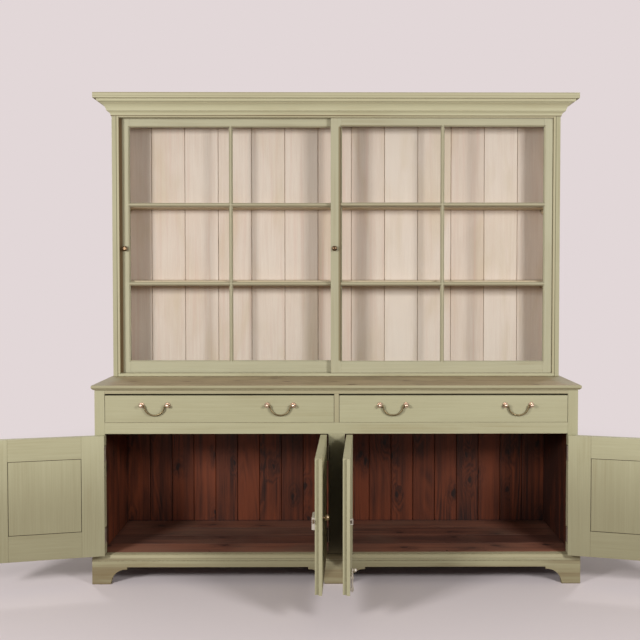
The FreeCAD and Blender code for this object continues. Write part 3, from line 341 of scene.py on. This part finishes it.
def sage(finish, wear=1.0, underside_shade=0.55):
    """Sage paint brushed thin over pine: streaks along the grain, painted shade on faces that look down,
    brown grime and painted shade in joints and corners, and rubbed edges with a pale painted highlight and
    brown wear.
    """
    board = finish.attribute("board")
    tint = finish.attribute("tint", "Fac")
    brush = finish.noise(board, (330, 330, 5), 4)
    streak = finish.noise(board, (80, 80, 1.6), 3)
    fine = finish.noise(board, (1300, 1300, 60), 2)
    cloud = finish.noise(board, (5, 5, 2.4), 3, 0.5)
    speck = finish.noise(board, (150, 150, 90), 3)
    slim = 1 - finish.attribute("width", "Fac").rise(SLIM_WIDTH, SLIM_WIDTH * 2)
    share = brush * 0.5 + streak * 0.34 + cloud * 0.45 + (tint - 0.5) * 0.18 - 0.145
    colour = finish.mix(share.rise(0.1, 0.9), *SAGE)
    colour = finish.mix(slim * 0.4, colour, SLIM_SAGE)
    worn = cloud.rise(0.52, 0.75) * streak.rise(0.42, 0.62)
    colour = finish.mix(worn * 0.32 * wear, colour, WORN_SAGE)
    # Painted shade: faces that look downwards are darkened, as if in their own shadow.
    below = (0 - finish.part(finish.node("ShaderNodeNewGeometry", {}, {}, "Normal"), "Z")).rise(0.3, 0.9)
    colour = finish.mix(below * underside_shade, colour, UNDERSIDE_SHADE)
    # Brown grime and painted shade: corners and joints, found by occlusion, are darkened, with specks of
    # grime.
    broad = (finish.hollow(0.016) + (speck - 0.5) * 0.5).rise(0.3, 0.85)
    tight = (finish.hollow(0.0065) + (speck - 0.5) * 0.2).rise(0.12, 0.5)
    colour = finish.mix(broad * 0.7, colour, BROAD_GRIME_AND_SHADE)
    colour = finish.mix(tight * 0.88, colour, TIGHT_GRIME_AND_SHADE)
    # Rubbed edges: partly a pale painted highlight along the arrises, partly brown wear.
    edge = (finish.arris(0.003) + (speck - 0.5) * 0.34 * wear + (cloud - 0.5) * 0.3).rise(0.16, 0.27)
    rubbed = finish.mix(speck.rise(0.45, 0.6), *EDGE_WEAR_AND_HIGHLIGHT)
    colour = finish.mix(edge * (1 - tight) * 0.6, colour, rubbed)
    return colour, brush * 0.7 + fine * 0.3 - edge * 0.5


DARK_PINE = (tone(125, 62, 35), tone(44, 21, 14), tone(26, 13, 9))
BARE_PINE = (tone(206, 176, 134), tone(164, 126, 86), tone(96, 62, 38))
AGED_PINE = (tone(160, 126, 88), tone(112, 82, 54), tone(66, 42, 26))
FLOOR_PINE = (tone(149, 97, 75), tone(78, 49, 40), tone(40, 22, 17))
STAIN_SHINE = 0.4
STAIN_DEPTH = 0.0005
BACK_MIDDLE = 0.5088
SIDE_MIDDLE = 1.0476
BASE_BACK = (0.113, 0.855)
BASE_BOARD = 0.109263
BASE_JOINTS = [-1.039 + BASE_BOARD * number for number in range(1, 19)]

lining = Finish("stained_lining", Specular_IOR_Level=STAIN_SHINE)
stained, stained_relief = pine(lining, *DARK_PINE)
bare, _ = pine(lining, *AGED_PINE)
behind = lining.measure("Y").past(BACK_MIDDLE)
# Dark joints and painted shade: the vee joints and the corners, found by occlusion, are darkened almost to
# black.
seams_and_shade = lining.hollow(0.012).rise(0.2, 0.7)
stained = lining.mix(seams_and_shade * 0.85, stained, tone(20, 11, 9))
lining.lay(lining.mix(behind, stained, bare), stained_relief, roughness=0.5 + behind * 0.25, depth=0.0006)
work_wood("base_back_boards", "stained_pine", lining.material)
fill_joints("base_back_tongues", BASE_JOINTS, *BASE_BACK, "stained_pine", lining.material)

flooring = Finish("stained_floor", Specular_IOR_Level=0.45)
floor_colour, floor_relief = pine(flooring, *FLOOR_PINE, figure=0.2)
dust = flooring.noise(flooring.attribute("board"), (3, 3, 3), 4, 0.6)
floor_colour = flooring.mix(dust.rise(0.35, 0.75) * 0.5, floor_colour, tone(124, 100, 84))
# Painted shade: the floor is darkened almost to black in its corners and along the sides and back.
floor_colour = flooring.mix(flooring.hollow(0.05).rise(0.2, 0.8) * 0.8, floor_colour, tone(22, 13, 10))
flooring.lay(floor_colour, floor_relief, roughness=0.42 + dust * 0.3)
work_wood("base_floor_boards", "stained_pine", flooring.material)

partition = Finish("stained_partition", Specular_IOR_Level=STAIN_SHINE)
partition_colour, partition_relief = pine(partition, *DARK_PINE)
partition.lay(partition_colour, partition_relief, roughness=0.55, depth=STAIN_DEPTH)
for node in ("base_partition", "drawer_runners", "plinth_blocks"):
    work_wood(node, "stained_pine", partition.material)

sides = Finish("painted_and_stained_sides", Specular_IOR_Level=STAIN_SHINE)
outside_colour, _ = sage(sides)
inside_colour, inside_relief = pine(sides, *DARK_PINE)
outside = abs(sides.measure("X")).past(SIDE_MIDDLE)
sides_colour = sides.mix(outside, inside_colour, outside_colour)
sides.lay(sides_colour, inside_relief, roughness=0.58, depth=STAIN_DEPTH)
work_wood("base_sides", "side_boards", sides.material)

# Face frame, counter and plinth. Planed pine glued across the front of the carcass, a counter board with a
# moulded nosing, and a plinth with bracket feet under a small moulding. All are brushed with sage paint,
# but the top of the counter is scrubbed bare and has gone grey brown, and the plinth is scuffed and its
# paint is darker all over, most towards the floor, where the darkening is painted shade.

PAINT_SHINE = 0.35
SLOT_EDGE = (0.036, 0.04)
SLOT_SHADE = tone(26, 21, 15)
PLINTH_SHADE_HEIGHTS = (0.05, 0.11)
PLINTH_SHADE = (0.75, 0.69, 0.64, 1)

painted = Finish("sage_paint", Specular_IOR_Level=PAINT_SHINE)
paint_colour, paint_relief = sage(painted)
painted.lay(paint_colour, paint_relief)
for node in ("face_frame_rails", "plinth_moulding"):
    work_wood(node, "green_paint", painted.material)

stile_paint = Finish("stile_paint", Specular_IOR_Level=PAINT_SHINE)
stile_colour, stile_relief = sage(stile_paint)
stile_colour = stile_paint.mix(0.36, stile_colour, tone(166, 160, 126))
off_middle = abs(stile_paint.measure("X"))
# Painted shade: where the open inner doors close round the centre stile, found by occlusion, it is painted
# near black.
slot = stile_paint.hollow(0.3).rise(0.45, 0.8) * (1 - off_middle.rise(*SLOT_EDGE))
stile_paint.lay(stile_paint.mix(slot * 0.92, stile_colour, SLOT_SHADE), stile_relief)
work_wood("face_frame_stiles", "green_paint", stile_paint.material)

scuffed = Finish("scuffed_sage_paint", Specular_IOR_Level=PAINT_SHINE)
scuffed_colour, scuffed_relief = sage(scuffed, wear=1.6)
scuffs = scuffed.noise(scuffed.attribute("board"), (60, 60, 2), 5, 0.3)
# Painted shade: the plinth's paint is darkened a little all over and most towards the floor.
low_down = 1 - scuffed.measure("Z").rise(*PLINTH_SHADE_HEIGHTS)
scuffed_colour = scuffed.mix(0.3 + low_down * 0.7, scuffed_colour, PLINTH_SHADE, "MULTIPLY")
scuffed_colour = scuffed.mix(scuffs.rise(0.42, 0.68) * 0.5, scuffed_colour, tone(122, 102, 72))
scuffed.lay(scuffed_colour, scuffed_relief, roughness=0.66, depth=0.0005)
for node in ("plinth_front", "plinth_returns"):
    work_wood(node, "green_paint", scuffed.material)

COUNTER_TOP = (0.8742, 0.8748)
COUNTER_END = (0.88, 1.05)
NOSING_SHADE = (0.82, 0.79, 0.76, 1)
SCRUBBED_PINE = (tone(184, 166, 130), tone(145, 125, 94), tone(96, 76, 52))

counter = Finish("scrubbed_counter", Specular_IOR_Level=PAINT_SHINE)
nosing_colour, _ = sage(counter)
nosing_colour = counter.mix(1, nosing_colour, NOSING_SHADE, "MULTIPLY")
scrubbed, scrubbed_relief = pine(counter, *SCRUBBED_PINE, figure=0.3, tint_share=0)
stains = counter.noise(counter.attribute("board"), (6, 6, 3.5), 4, 0.8)
scratches = counter.noise(counter.attribute("board"), (420, 420, 7), 2).rise(0.64, 0.72)
scrubbed = counter.mix(stains.rise(0.48, 0.74) * 0.5, scrubbed, tone(120, 105, 81))
scrubbed = counter.mix(scratches * 0.4, scrubbed, tone(184, 170, 142))
ends = abs(counter.measure("X")).rise(*COUNTER_END)
scrubbed = counter.mix((ends * 0.6 + stains - 0.85).rise(0, 0.2) * 0.7, scrubbed, nosing_colour)
upper = counter.measure("Z").rise(*COUNTER_TOP)
counter.lay(counter.mix(upper, nosing_colour, scrubbed), scrubbed_relief, roughness=0.6 - upper * 0.08)
work_wood("counter_top", "worn_counter", counter.material)

# Drawers. Each has a painted pine front and a box of bare pine, grooved for its bottom. Two swan-neck
# handles hang on it: turned posts of pinkish brass on rosettes, and a bent bail gone brown with age.

FRONT_BACK = 0.0212
DRAWER_BOX_ARRIS = 0.0006

drawer_face = Finish("drawer_face", Specular_IOR_Level=PAINT_SHINE)
face_colour, face_relief = sage(drawer_face)
face_colour = drawer_face.mix(0.16, face_colour, tone(160, 154, 121))
back_colour, _ = pine(drawer_face, *BARE_PINE)
inward = drawer_face.measure("Y").past(FRONT_BACK)
drawer_face.lay(drawer_face.mix(inward, face_colour, back_colour), face_relief)

drawer_box = Finish("bare_pine", Specular_IOR_Level=0.3)
box_colour, box_relief = pine(drawer_box, *BARE_PINE)
# Painted shade: the box is darkened in its inside corners.
box_colour = drawer_box.mix(drawer_box.hollow(0.03).rise(0.35, 0.95) * 0.6, box_colour, tone(96, 70, 44))
drawer_box.lay(box_colour, box_relief, roughness=0.7)


def cast_metal(name, bright, dull, roughness, worn=0.5, bare=1.0):
    """A metal whose open faces are rubbed bright and whose hollows keep their brown."""
    metal = Finish(name, Metallic=bare)
    patch = metal.noise(metal.spot, (60, 60, 60), 4)
    fine = metal.noise(metal.spot, (900, 900, 900), 2)
    shade = (metal.hollow(0.006) * 0.9 + (patch - 0.5) * 1.4 + (0.5 - worn)).rise(0, 0.9)
    uneven = roughness + shade * 0.22 + (fine - 0.5) * 0.1
    return metal.lay(metal.mix(shade, bright, dull), fine, roughness=uneven, depth=0.0001)


def coat_node(node, material):
    """Gives a CAD piece whose shape stays as it is a better finish."""
    frame["nodes"][node].material_slots[0].material = material


post_brass = cast_metal("rosette_brass", tone(232, 208, 186), tone(140, 112, 92), 0.36)
bail_bronze = cast_metal("bail_bronze", tone(130, 116, 86), tone(62, 52, 36), 0.42, worn=0.45)
for side in ("left", "right"):
    work_wood(f"drawer_{side}_front", "green_paint", drawer_face.material)
    work_wood(f"drawer_{side}_box", "bare_pine", drawer_box.material, DRAWER_BOX_ARRIS)
    coat_node(f"drawer_{side}_handle_posts", post_brass)
    for number in (1, 2):
        coat_node(f"drawer_{side}_bail_{number}", bail_bronze)

# Doors. Framed pine, stiles and rails round a panel that is flush inside and moulded outside, in sage
# paint. Steel butt hinges are let into the edges with countersunk screws. Two doors have a rim latch
# with a brass knob, the other two a tower bolt and a keep.

PIN_DEPTH = 0.0053
PANEL_ARRIS = 0.0022
DOOR_SHADE_HEIGHTS = (0.3, 0.68)
LOW_DOOR_SHADE = (0.74, 0.72, 0.7, 1)
HINGE_LEVELS = (0.1835, 0.5445)
HINGE_LENGTH = 0.064
LEAF_FACE = 0.0002
LEAF_MIDDLE = 0.0163
LEAF_SHARES = (1 / 6, 1 / 2, 5 / 6)
CASE_FACE = 0.0453
CASE_SCREWS = ((0.40825, 0.3905), (0.40825, 0.4245), (0.47625, 0.3905), (0.47625, 0.4245))
PLATE_FACE = 0.0358
PLATE_SCREWS = ((0.44275, 0.1475), (0.46175, 0.1475), (0.44275, 0.1915), (0.46175, 0.1915))
SCREW_CORNERS = 16
SCREW_SLOT = 0.0009

# Radius of the head, how far it stands proud
HINGE_SCREW = (0.0034, 0.00009)
CASE_SCREW = (0.0027, 0.0006)
PLATE_SCREW = (0.0022, 0.0006)

# Name, X of the hinge pin, the way that it points when closed, how far it stands open
DOORS = (
    ("door_outer_left", -1.0145, 1, 168.0),
    ("door_inner_left", -0.0375, -1, 88.3),
    ("door_inner_right", 0.0375, 1, 92.5),
    ("door_outer_right", 1.0145, -1, 166.0),
)


def hung(pin, hand, opened):
    """Turns a place on the closed door, measured from its pin, to where the door stands open."""
    turn = Matrix.Translation((pin, -PIN_DEPTH, 0)) @ Matrix.Rotation(math.radians(-hand * opened), 4, "Z")

    def placed(x, y, z, facing):
        point = turn @ Vector((hand * x, y, z))
        outward = turn.to_3x3() @ Vector((hand * facing[0], facing[1], facing[2]))
        return point, outward

    return placed


def screw_heads(name, spots, size, body, material):
    """Round heads with a slot: a thin disc, and on it two half discs with the slot between them."""
    bm = bmesh.new()
    draw = random.Random(name)
    radius, lift = size
    cut = math.asin(SCREW_SLOT / 2 / radius)
    sweep = (math.pi - 2 * cut) / (SCREW_CORNERS // 2)
    full = [math.tau * step / SCREW_CORNERS for step in range(SCREW_CORNERS)]
    half = [cut + sweep * step for step in range(SCREW_CORNERS // 2 + 1)]
    other_half = [math.pi + angle for angle in half]
    layers = ((full, -lift, lift / 2), (half, lift / 2, lift), (other_half, lift / 2, lift))
    for point, outward in spots:
        turn = Matrix.Rotation(draw.uniform(0, math.pi), 4, "Z")
        place = Matrix.Translation(point) @ outward.to_track_quat("Z", "Y").to_matrix().to_4x4() @ turn
        for angles, foot, top in layers:
            outline = [(math.cos(angle) * radius, math.sin(angle) * radius) for angle in angles]
            low = [bm.verts.new(place @ Vector((x, y, foot))) for x, y in outline]
            high = [bm.verts.new(place @ Vector((x, y, top))) for x, y in outline]
            bm.faces.new(low[::-1])
            bm.faces.new(high)
            for index in range(len(outline)):
                after = (index + 1) % len(outline)
                bm.faces.new((low[index], low[after], high[after], high[index]))
    stand(name, bm, material, body, "steel")


door_paint = Finish("shaded_door_paint", Specular_IOR_Level=PAINT_SHINE)
door_colour, door_relief = sage(door_paint)
# Painted shade: the outer doors' paint is darkened towards the floor.
low_door_shade = 1 - door_paint.measure("Z").rise(*DOOR_SHADE_HEIGHTS)
door_paint.lay(door_paint.mix(low_door_shade, door_colour, LOW_DOOR_SHADE, "MULTIPLY"), door_relief)

hinge_steel = cast_metal("hinge_steel", tone(176, 168, 156), tone(104, 84, 66), 0.36)
latch_steel = cast_metal("latch_steel", tone(214, 206, 194), tone(152, 142, 128), 0.36, worn=0.66, bare=0.35)
latch_brass = cast_metal("latch_brass", tone(168, 148, 120), tone(82, 66, 50), 0.34, worn=0.42)
frame_spots = []
for name, pin, hand, opened in DOORS:
    paint = door_paint if "outer" in name else painted
    work_wood(name, "green_paint", paint.material, ARRIS, PANEL_ARRIS)
    coat_node(f"{name}_hinge_leaves", hinge_steel)
    placed = hung(pin, hand, opened)
    fixed = hung(pin, hand, 0)
    door_spots = []
    for level in HINGE_LEVELS:
        for share in LEAF_SHARES:
            height = level + HINGE_LENGTH * share
            door_spots.append(placed(LEAF_FACE, LEAF_MIDDLE, height, (-1, 0, 0)))
            frame_spots.append(fixed(-LEAF_FACE, LEAF_MIDDLE, height, (1, 0, 0)))
    screw_heads(f"{name}_hinge_screws", door_spots, HINGE_SCREW, name, hinge_steel)
    if hand < 0:
        coat_node(f"{name}_latch_case", latch_steel)
        coat_node(f"{name}_latch_knob", latch_brass)
        coat_node(f"{name}_latch_tongue", latch_brass)
        spots = [placed(x, CASE_FACE, z, (0, 1, 0)) for x, z in CASE_SCREWS]
        screw_heads(f"{name}_latch_screws", spots, CASE_SCREW, name, hinge_steel)
    else:
        coat_node(f"{name}_fittings", latch_steel)
        coat_node(f"{name}_bolt_rod", latch_steel)
        spots = [placed(x, PLATE_FACE, z, (0, 1, 0)) for x, z in PLATE_SCREWS]
        screw_heads(f"{name}_bolt_screws", spots, PLATE_SCREW, name, hinge_steel)
coat_node("frame_hinge_leaves", hinge_steel)
screw_heads("frame_hinge_screws", frame_spots, HINGE_SCREW, "carcass", hinge_steel)

# Rack. Two side boards and a vee-jointed back stand on the counter, with a grooved sill and head for the
# sashes, a head rail and a cornice mitred round three sides. It is sage outside and cream inside;
# the shelves lie on bearers, and the top board and the back of the lining are bare.

RACK_SIDE_MIDDLE = 1.0368
RACK_SIDE_FRONT = 0.3125
RACK_SIDE_LINE = (1.0372, 1.0394)
SHELF_BACK = 0.5026
CORNICE_FOOT_SHADOW = (2.1082, 2.1102)
CORNICE_CROWN = (2.1765, 2.1785)
CROWN_LINES = ((2.1862, 0.4), (2.1998, 0.55))
LINE_EDGE = (0.0008, 0.0022)
RACK_BACK = (0.875, 2.19)
RACK_BOARD = 0.1646
RACK_JOINTS = [-0.9136 + RACK_BOARD * number for number in range(12)]
CREAM = (tone(228, 214, 202), tone(210, 189, 174))
OCHRE_CLOUD = tone(205, 187, 153)
PINK_STREAK = tone(216, 178, 164)
OCHRE_GRIME_AND_SHADE = tone(138, 108, 72)


def cream(finish):
    """Old cream paint on boards: faint grain, pinkish clouds, ochre grime in the joints and painted shade in
    the corners.
    """
    board = finish.attribute("board")
    tint = finish.attribute("tint", "Fac")
    brush = finish.noise(board, (260, 260, 6), 4)
    streak = finish.noise(board, (55, 55, 1.4), 4)
    cloud = finish.noise(board, (7, 7, 2.2), 3, 0.5)
    fine = finish.noise(board, (420, 420, 160), 2)
    share = brush * 0.5 + streak * 0.3 + fine * 0.35 + cloud * 0.5 + (tint - 0.5) * 0.4 - 0.35
    colour = finish.mix(share.rise(0.1, 0.9), *CREAM)
    colour = finish.mix(cloud.rise(0.48, 0.75) * 0.35, colour, OCHRE_CLOUD)
    colour = finish.mix(streak.rise(0.5, 0.7) * tint * 0.35, colour, PINK_STREAK)
    # Ochre grime and painted shade: joints and corners, found by occlusion, are darkened.
    grime = (finish.hollow(0.014) + (brush - 0.5) * 0.3).rise(0.2, 0.7)
    return finish.mix(grime * 0.9, colour, OCHRE_GRIME_AND_SHADE), brush


rack_lining = Finish("cream_lining", Specular_IOR_Level=0.3)
cream_colour, cream_relief = cream(rack_lining)
rack_bare, _ = pine(rack_lining, *AGED_PINE)
rack_depth = rack_lining.measure("Y")
on_shelf = 1 - rack_depth.past(SHELF_BACK)
cream_colour = rack_lining.mix(on_shelf * 0.75, cream_colour, tone(194, 177, 142))
cream_colour = rack_lining.mix(rack_depth.past(BACK_MIDDLE), cream_colour, rack_bare)
rack_lining.lay(cream_colour, cream_relief, roughness=0.7, depth=0.0003)
for node in ("rack_back_boards", "rack_shelves", "shelf_bearers"):
    work_wood(node, "cream_paint", rack_lining.material)
fill_joints("rack_back_tongues", RACK_JOINTS, *RACK_BACK, "cream_paint", rack_lining.material)

rack_sides = Finish("painted_rack_sides", Specular_IOR_Level=PAINT_SHINE)
rack_outer, rack_relief = sage(rack_sides)
rack_outer = rack_sides.mix(0.3, rack_outer, tone(158, 150, 118))
rack_inner, _ = cream(rack_sides)
rack_across = abs(rack_sides.measure("X"))
rack_outward = rack_across.past(RACK_SIDE_MIDDLE)
rack_ahead = 1 - rack_sides.measure("Y").past(RACK_SIDE_FRONT)
rack_joint = rack_ahead * (1 - rack_across.rise(*RACK_SIDE_LINE))
rack_outer = rack_sides.mix(rack_joint * 0.8, rack_outer, tone(84, 72, 44))
rack_painted = rack_outward.sum("MAXIMUM", rack_ahead)
rack_sides.lay(rack_sides.mix(rack_painted, rack_inner, rack_outer), rack_relief, roughness=0.64)
work_wood("rack_sides", "side_boards", rack_sides.material)
for node in ("rack_sill", "sash_head_board", "head_rail"):
    work_wood(node, "green_paint", painted.material)

stop_beads = Finish("stop_bead_paint", Specular_IOR_Level=PAINT_SHINE)
bead_colour, bead_relief = sage(stop_beads, underside_shade=0.2)
bead_colour = stop_beads.mix(0.36, bead_colour, tone(200, 192, 158))
stop_beads.lay(bead_colour, bead_relief)
work_wood("sash_stop_beads", "green_paint", stop_beads.material)
work_wood("rack_top_board", "bare_pine", drawer_box.material)

cornice = Finish("cornice_paint", Specular_IOR_Level=PAINT_SHINE)
cornice_colour, cornice_relief = sage(cornice, wear=1.2, underside_shade=0)
wear_lines = cornice.noise(cornice.attribute("board"), (120, 120, 1.2), 4)
# Painted light: the cornice's paint is mixed lighter than the rest, standing in for light reaching its
# downward-facing mouldings.
cornice_colour = cornice.mix(0.4, cornice_colour, tone(206, 201, 167))
cornice_colour = cornice.mix(wear_lines.rise(0.5, 0.66) * 0.2, cornice_colour, tone(160, 142, 110))
cornice_height = cornice.measure("Z")
crown = cornice_height.rise(*CORNICE_CROWN)
cornice_colour = cornice.mix(crown * 0.25, cornice_colour, tone(166, 154, 120))
for level, depth in CROWN_LINES:
    line = (1 - abs(cornice_height - level).rise(*LINE_EDGE)) * (wear_lines + 0.4)
    cornice_colour = cornice.mix(line * depth, cornice_colour, tone(120, 106, 72))
# Painted shadow: a dark brown line along the cornice's foot, broken by the wear lines, stands for the shadow
# where it overhangs the bead.
foot_shadow = 1 - cornice_height.rise(*CORNICE_FOOT_SHADOW)
cornice_colour = cornice.mix(foot_shadow * (wear_lines + 0.3), cornice_colour, tone(104, 84, 52))
cornice.lay(cornice_colour, cornice_relief)
work_wood("cornice", "green_paint", cornice.material)

# Sashes. Each is a pine frame with an upright bar and four short ones, moulded in front and rebated
# behind, where six panes are bedded in putty. They slide in grooves by turned knobs of dark bronze. The
# rear sash is painted brown along its left edge, and the front one's left stile is painted darker along
# its moulding.

SASHES = (("front_sash", -0.027, 0.3205), ("rear_sash", -1.034, 0.3475))
SASH_FOOT = 0.8853
SASH_RAIL = 0.0627
SASH_STILE = 0.05
PANE_WIDTH = 0.4715
PANE_HEIGHT = 0.35867
PANE_COLUMNS = 2
PANE_ROWS = 3
BAR = 0.018
REBATE_EDGE = 0.006
PANE_BACK = 0.015
PUTTY_BACK = 0.0216
HEAD_ON_GLOSS = 0.034
BROWN_EDGE = (-1.019, -1.018)
DARK_EDGE_LEFT = (0.009, 0.011)
DARK_EDGE_RIGHT = 0.0225
RAIL_FADE = 0.004
FRONT_SASH_BACK = 0.346
SASH_ARRIS = 0.0007

glazing = Finish("old_glass", Base_Color=tone(214, 212, 202), Roughness=0.06, Specular_IOR_Level=0.5)
smear = glazing.noise(glazing.spot, (5, 5, 5), 4, 0.6)
dirt = (glazing.hollow(0.02) + (glazing.noise(glazing.spot, (70, 70, 70), 3) - 0.5) * 0.5).rise(0.42, 0.95)
clear = glazing.node("ShaderNodeBsdfTransparent", {}, {"Color": (0.985, 0.99, 0.985, 1)})
gloss = glazing.node("ShaderNodeFresnel", {}, {"IOR": 1.45}) - HEAD_ON_GLOSS
outer_side = 1 - glazing.node("ShaderNodeNewGeometry", {}, {}, "Backfacing")
film = (gloss + smear.rise(0.45, 0.8) * 0.02 + dirt * 0.45) * outer_side
coated = glazing.node("ShaderNodeMixShader", {}, {
    "Fac": film, "Shader": clear, "Shader_001": Shade(glazing, glazing.shader.outputs[0])})
glazing.feed(glazing.tree.nodes["Material Output"], {"Surface": coated})

putty = Finish("putty", Specular_IOR_Level=0.3)
lumps = putty.noise(putty.spot, (160, 160, 160), 3)
putty_colour = putty.mix(lumps.rise(0.3, 0.7), tone(196, 188, 158), tone(164, 152, 118))
putty.lay(putty_colour, lumps, roughness=0.7, depth=0.0006)
knob_bronze = cast_metal("knob_bronze", tone(120, 98, 74), tone(44, 34, 26), 0.24, worn=0.4)

sash_paint = Finish("chalky_sash_paint", Specular_IOR_Level=PAINT_SHINE)
sash_colour, sash_relief = sage(sash_paint, underside_shade=0.2)
sash_colour = sash_paint.mix(0.2, sash_colour, tone(184, 179, 164))
sash_across = sash_paint.measure("X")
sash_height = sash_paint.measure("Z")
# The rear sash's left edge is painted brown.
brown_left_edge = 1 - sash_across.rise(*BROWN_EDGE)
# A band of the front sash's left stile, along its moulding between the rails, is painted dark brown.
dark_edge = sash_across.rise(*DARK_EDGE_LEFT) * (1 - sash_across.past(DARK_EDGE_RIGHT))
in_front = 1 - sash_paint.measure("Y").past(FRONT_SASH_BACK)
light_foot = SASH_FOOT + SASH_RAIL
light_head = light_foot + PANE_HEIGHT * PANE_ROWS + BAR * (PANE_ROWS - 1)
above_rail = sash_height.rise(light_foot, light_foot + RAIL_FADE)
below_rail = 1 - sash_height.rise(light_head - RAIL_FADE, light_head)
dark_edge = dark_edge * in_front * above_rail * below_rail
sash_colour = sash_paint.mix(dark_edge * 0.85, sash_colour, tone(122, 108, 76))
sash_paint.lay(sash_paint.mix(brown_left_edge, sash_colour, tone(134, 112, 80)), sash_relief)


def putty_rings(name, left, front):
    """A triangular fillet of putty behind each pane, mitred at its corners."""
    bm = bmesh.new()
    profile = ((0, PANE_BACK), (0, PUTTY_BACK), (REBATE_EDGE, PANE_BACK))
    for column in range(PANE_COLUMNS):
        for row in range(PANE_ROWS):
            low_x = left + SASH_STILE + (PANE_WIDTH + BAR) * column - REBATE_EDGE
            low_z = SASH_FOOT + SASH_RAIL + (PANE_HEIGHT + BAR) * row - REBATE_EDGE
            high_x = low_x + PANE_WIDTH + REBATE_EDGE * 2
            high_z = low_z + PANE_HEIGHT + REBATE_EDGE * 2
            corners = (
                (low_x, low_z, 1, 1), (high_x, low_z, -1, 1),
                (high_x, high_z, -1, -1), (low_x, high_z, 1, -1),
            )
            rings = [
                [bm.verts.new((x + step_x * inset, front + y, z + step_z * inset)) for inset, y in profile]
                for x, z, step_x, step_z in corners
            ]
            for index, ring in enumerate(rings):
                after = rings[(index + 1) % len(rings)]
                for step in range(len(profile)):
                    following = (step + 1) % len(profile)
                    bm.faces.new((ring[step], ring[following], after[following], after[step]))
    bmesh.ops.recalc_face_normals(bm, faces=bm.faces)
    stand(f"{name}_putty", bm, putty.material, name, "green_paint")


for name, left, front in SASHES:
    work_wood(f"{name}_frame", "green_paint", sash_paint.material, SASH_ARRIS)
    coat_node(f"{name}_panes", glazing.material)
    coat_node(f"{name}_knob", knob_bronze)
    putty_rings(name, left, front)

# Studio. A pale seamless floor, the same pale tone all round, two broad soft lamps in front to the left
# and the right, two weaker ones behind for the sides and the back, and a camera at the height and the
# distance that the photograph was taken from.

FLOOR_REACH = 30
FLOOR_FADE = (1.8, 4.5)
PALE = tone(226, 215, 216)
SHADED_FLOOR = tone(150, 134, 125)
LAMPS = (
    ("left_lamp", (-2.53, -2.76, 1.9), 88), ("right_lamp", (2.04, -2.5, 1.9), 61),
    ("left_fill", (-3.2, 3.4, 2.6), 40), ("right_fill", (3.2, 3.4, 2.6), 40),
)
LAMP_SIZE = 0.7
AIM = Vector((0, 0.1, 1.3))
WORLD_LIGHT = 0.24
SENSOR_WIDTH = 36
LENS = 47.08
LENS_SHIFT = (-0.0292, -0.032)
CAMERA_PLACE = (-0.0119, -3.654, 1.3555)
CAMERA_TURN = (math.radians(90) - 0.0288, 0, -0.0057)

floor_bm = bmesh.new()
bmesh.ops.create_grid(floor_bm, x_segments=1, y_segments=1, size=FLOOR_REACH)
floor = new_object("studio_floor", mesh_of("studio_floor", floor_bm))

ground = Finish("studio_ground", Roughness=0.9, Specular_IOR_Level=0.1)
seen_directly = ground.node("ShaderNodeLightPath", {}, {}, "Is Camera Ray")
ground.feed(ground.shader, {"Base Color": ground.mix(seen_directly, SHADED_FLOOR, PALE)})
reach = ground.node("ShaderNodeVectorMath", {"operation": "LENGTH"}, {"Vector": ground.spot}, "Value")
glow = ground.node("ShaderNodeEmission", {}, {"Color": PALE, "Strength": 1})
faded = ground.node("ShaderNodeMixShader", {}, {
    "Fac": reach.rise(*FLOOR_FADE) * seen_directly,
    "Shader": Shade(ground, ground.shader.outputs[0]), "Shader_001": glow})
ground.feed(ground.tree.nodes["Material Output"], {"Surface": faded})
floor.data.materials.append(ground.material)

world = bpy.data.worlds.new("studio")
world.use_nodes = True
bpy.context.scene.world = world
sky = Nodes(world.node_tree)
rays = [sky.node("ShaderNodeLightPath", {}, {}, kind)
        for kind in ("Is Camera Ray", "Is Glossy Ray", "Is Transmission Ray")]
looked_at = rays[0].sum("MAXIMUM", rays[1]).sum("MAXIMUM", rays[2])
soft_light = sky.node("ShaderNodeBackground", {}, {"Color": (1, 0.985, 0.97, 1), "Strength": WORLD_LIGHT})
backdrop = sky.node("ShaderNodeBackground", {}, {"Color": PALE, "Strength": 1})
around = sky.node("ShaderNodeMixShader", {}, {"Fac": looked_at, "Shader": soft_light, "Shader_001": backdrop})
sky.feed(sky.tree.nodes["World Output"], {"Surface": around})

for name, place, power in LAMPS:
    light = bpy.data.lights.new(name, "AREA")
    light.shape = "SQUARE"
    light.size = LAMP_SIZE
    light.energy = power
    lamp = new_object(name, light)
    lamp.location = place
    lamp.rotation_euler = (lamp.location - AIM).to_track_quat("Z", "Y").to_euler()

camera_data = bpy.data.cameras.new("camera")
camera_data.sensor_width = SENSOR_WIDTH
camera_data.lens = LENS
camera_data.shift_x, camera_data.shift_y = LENS_SHIFT
camera = new_object("camera", camera_data)
camera.location = CAMERA_PLACE
camera.rotation_euler = CAMERA_TURN
bpy.context.scene.camera = camera
bpy.context.scene.view_settings.view_transform = "Standard"
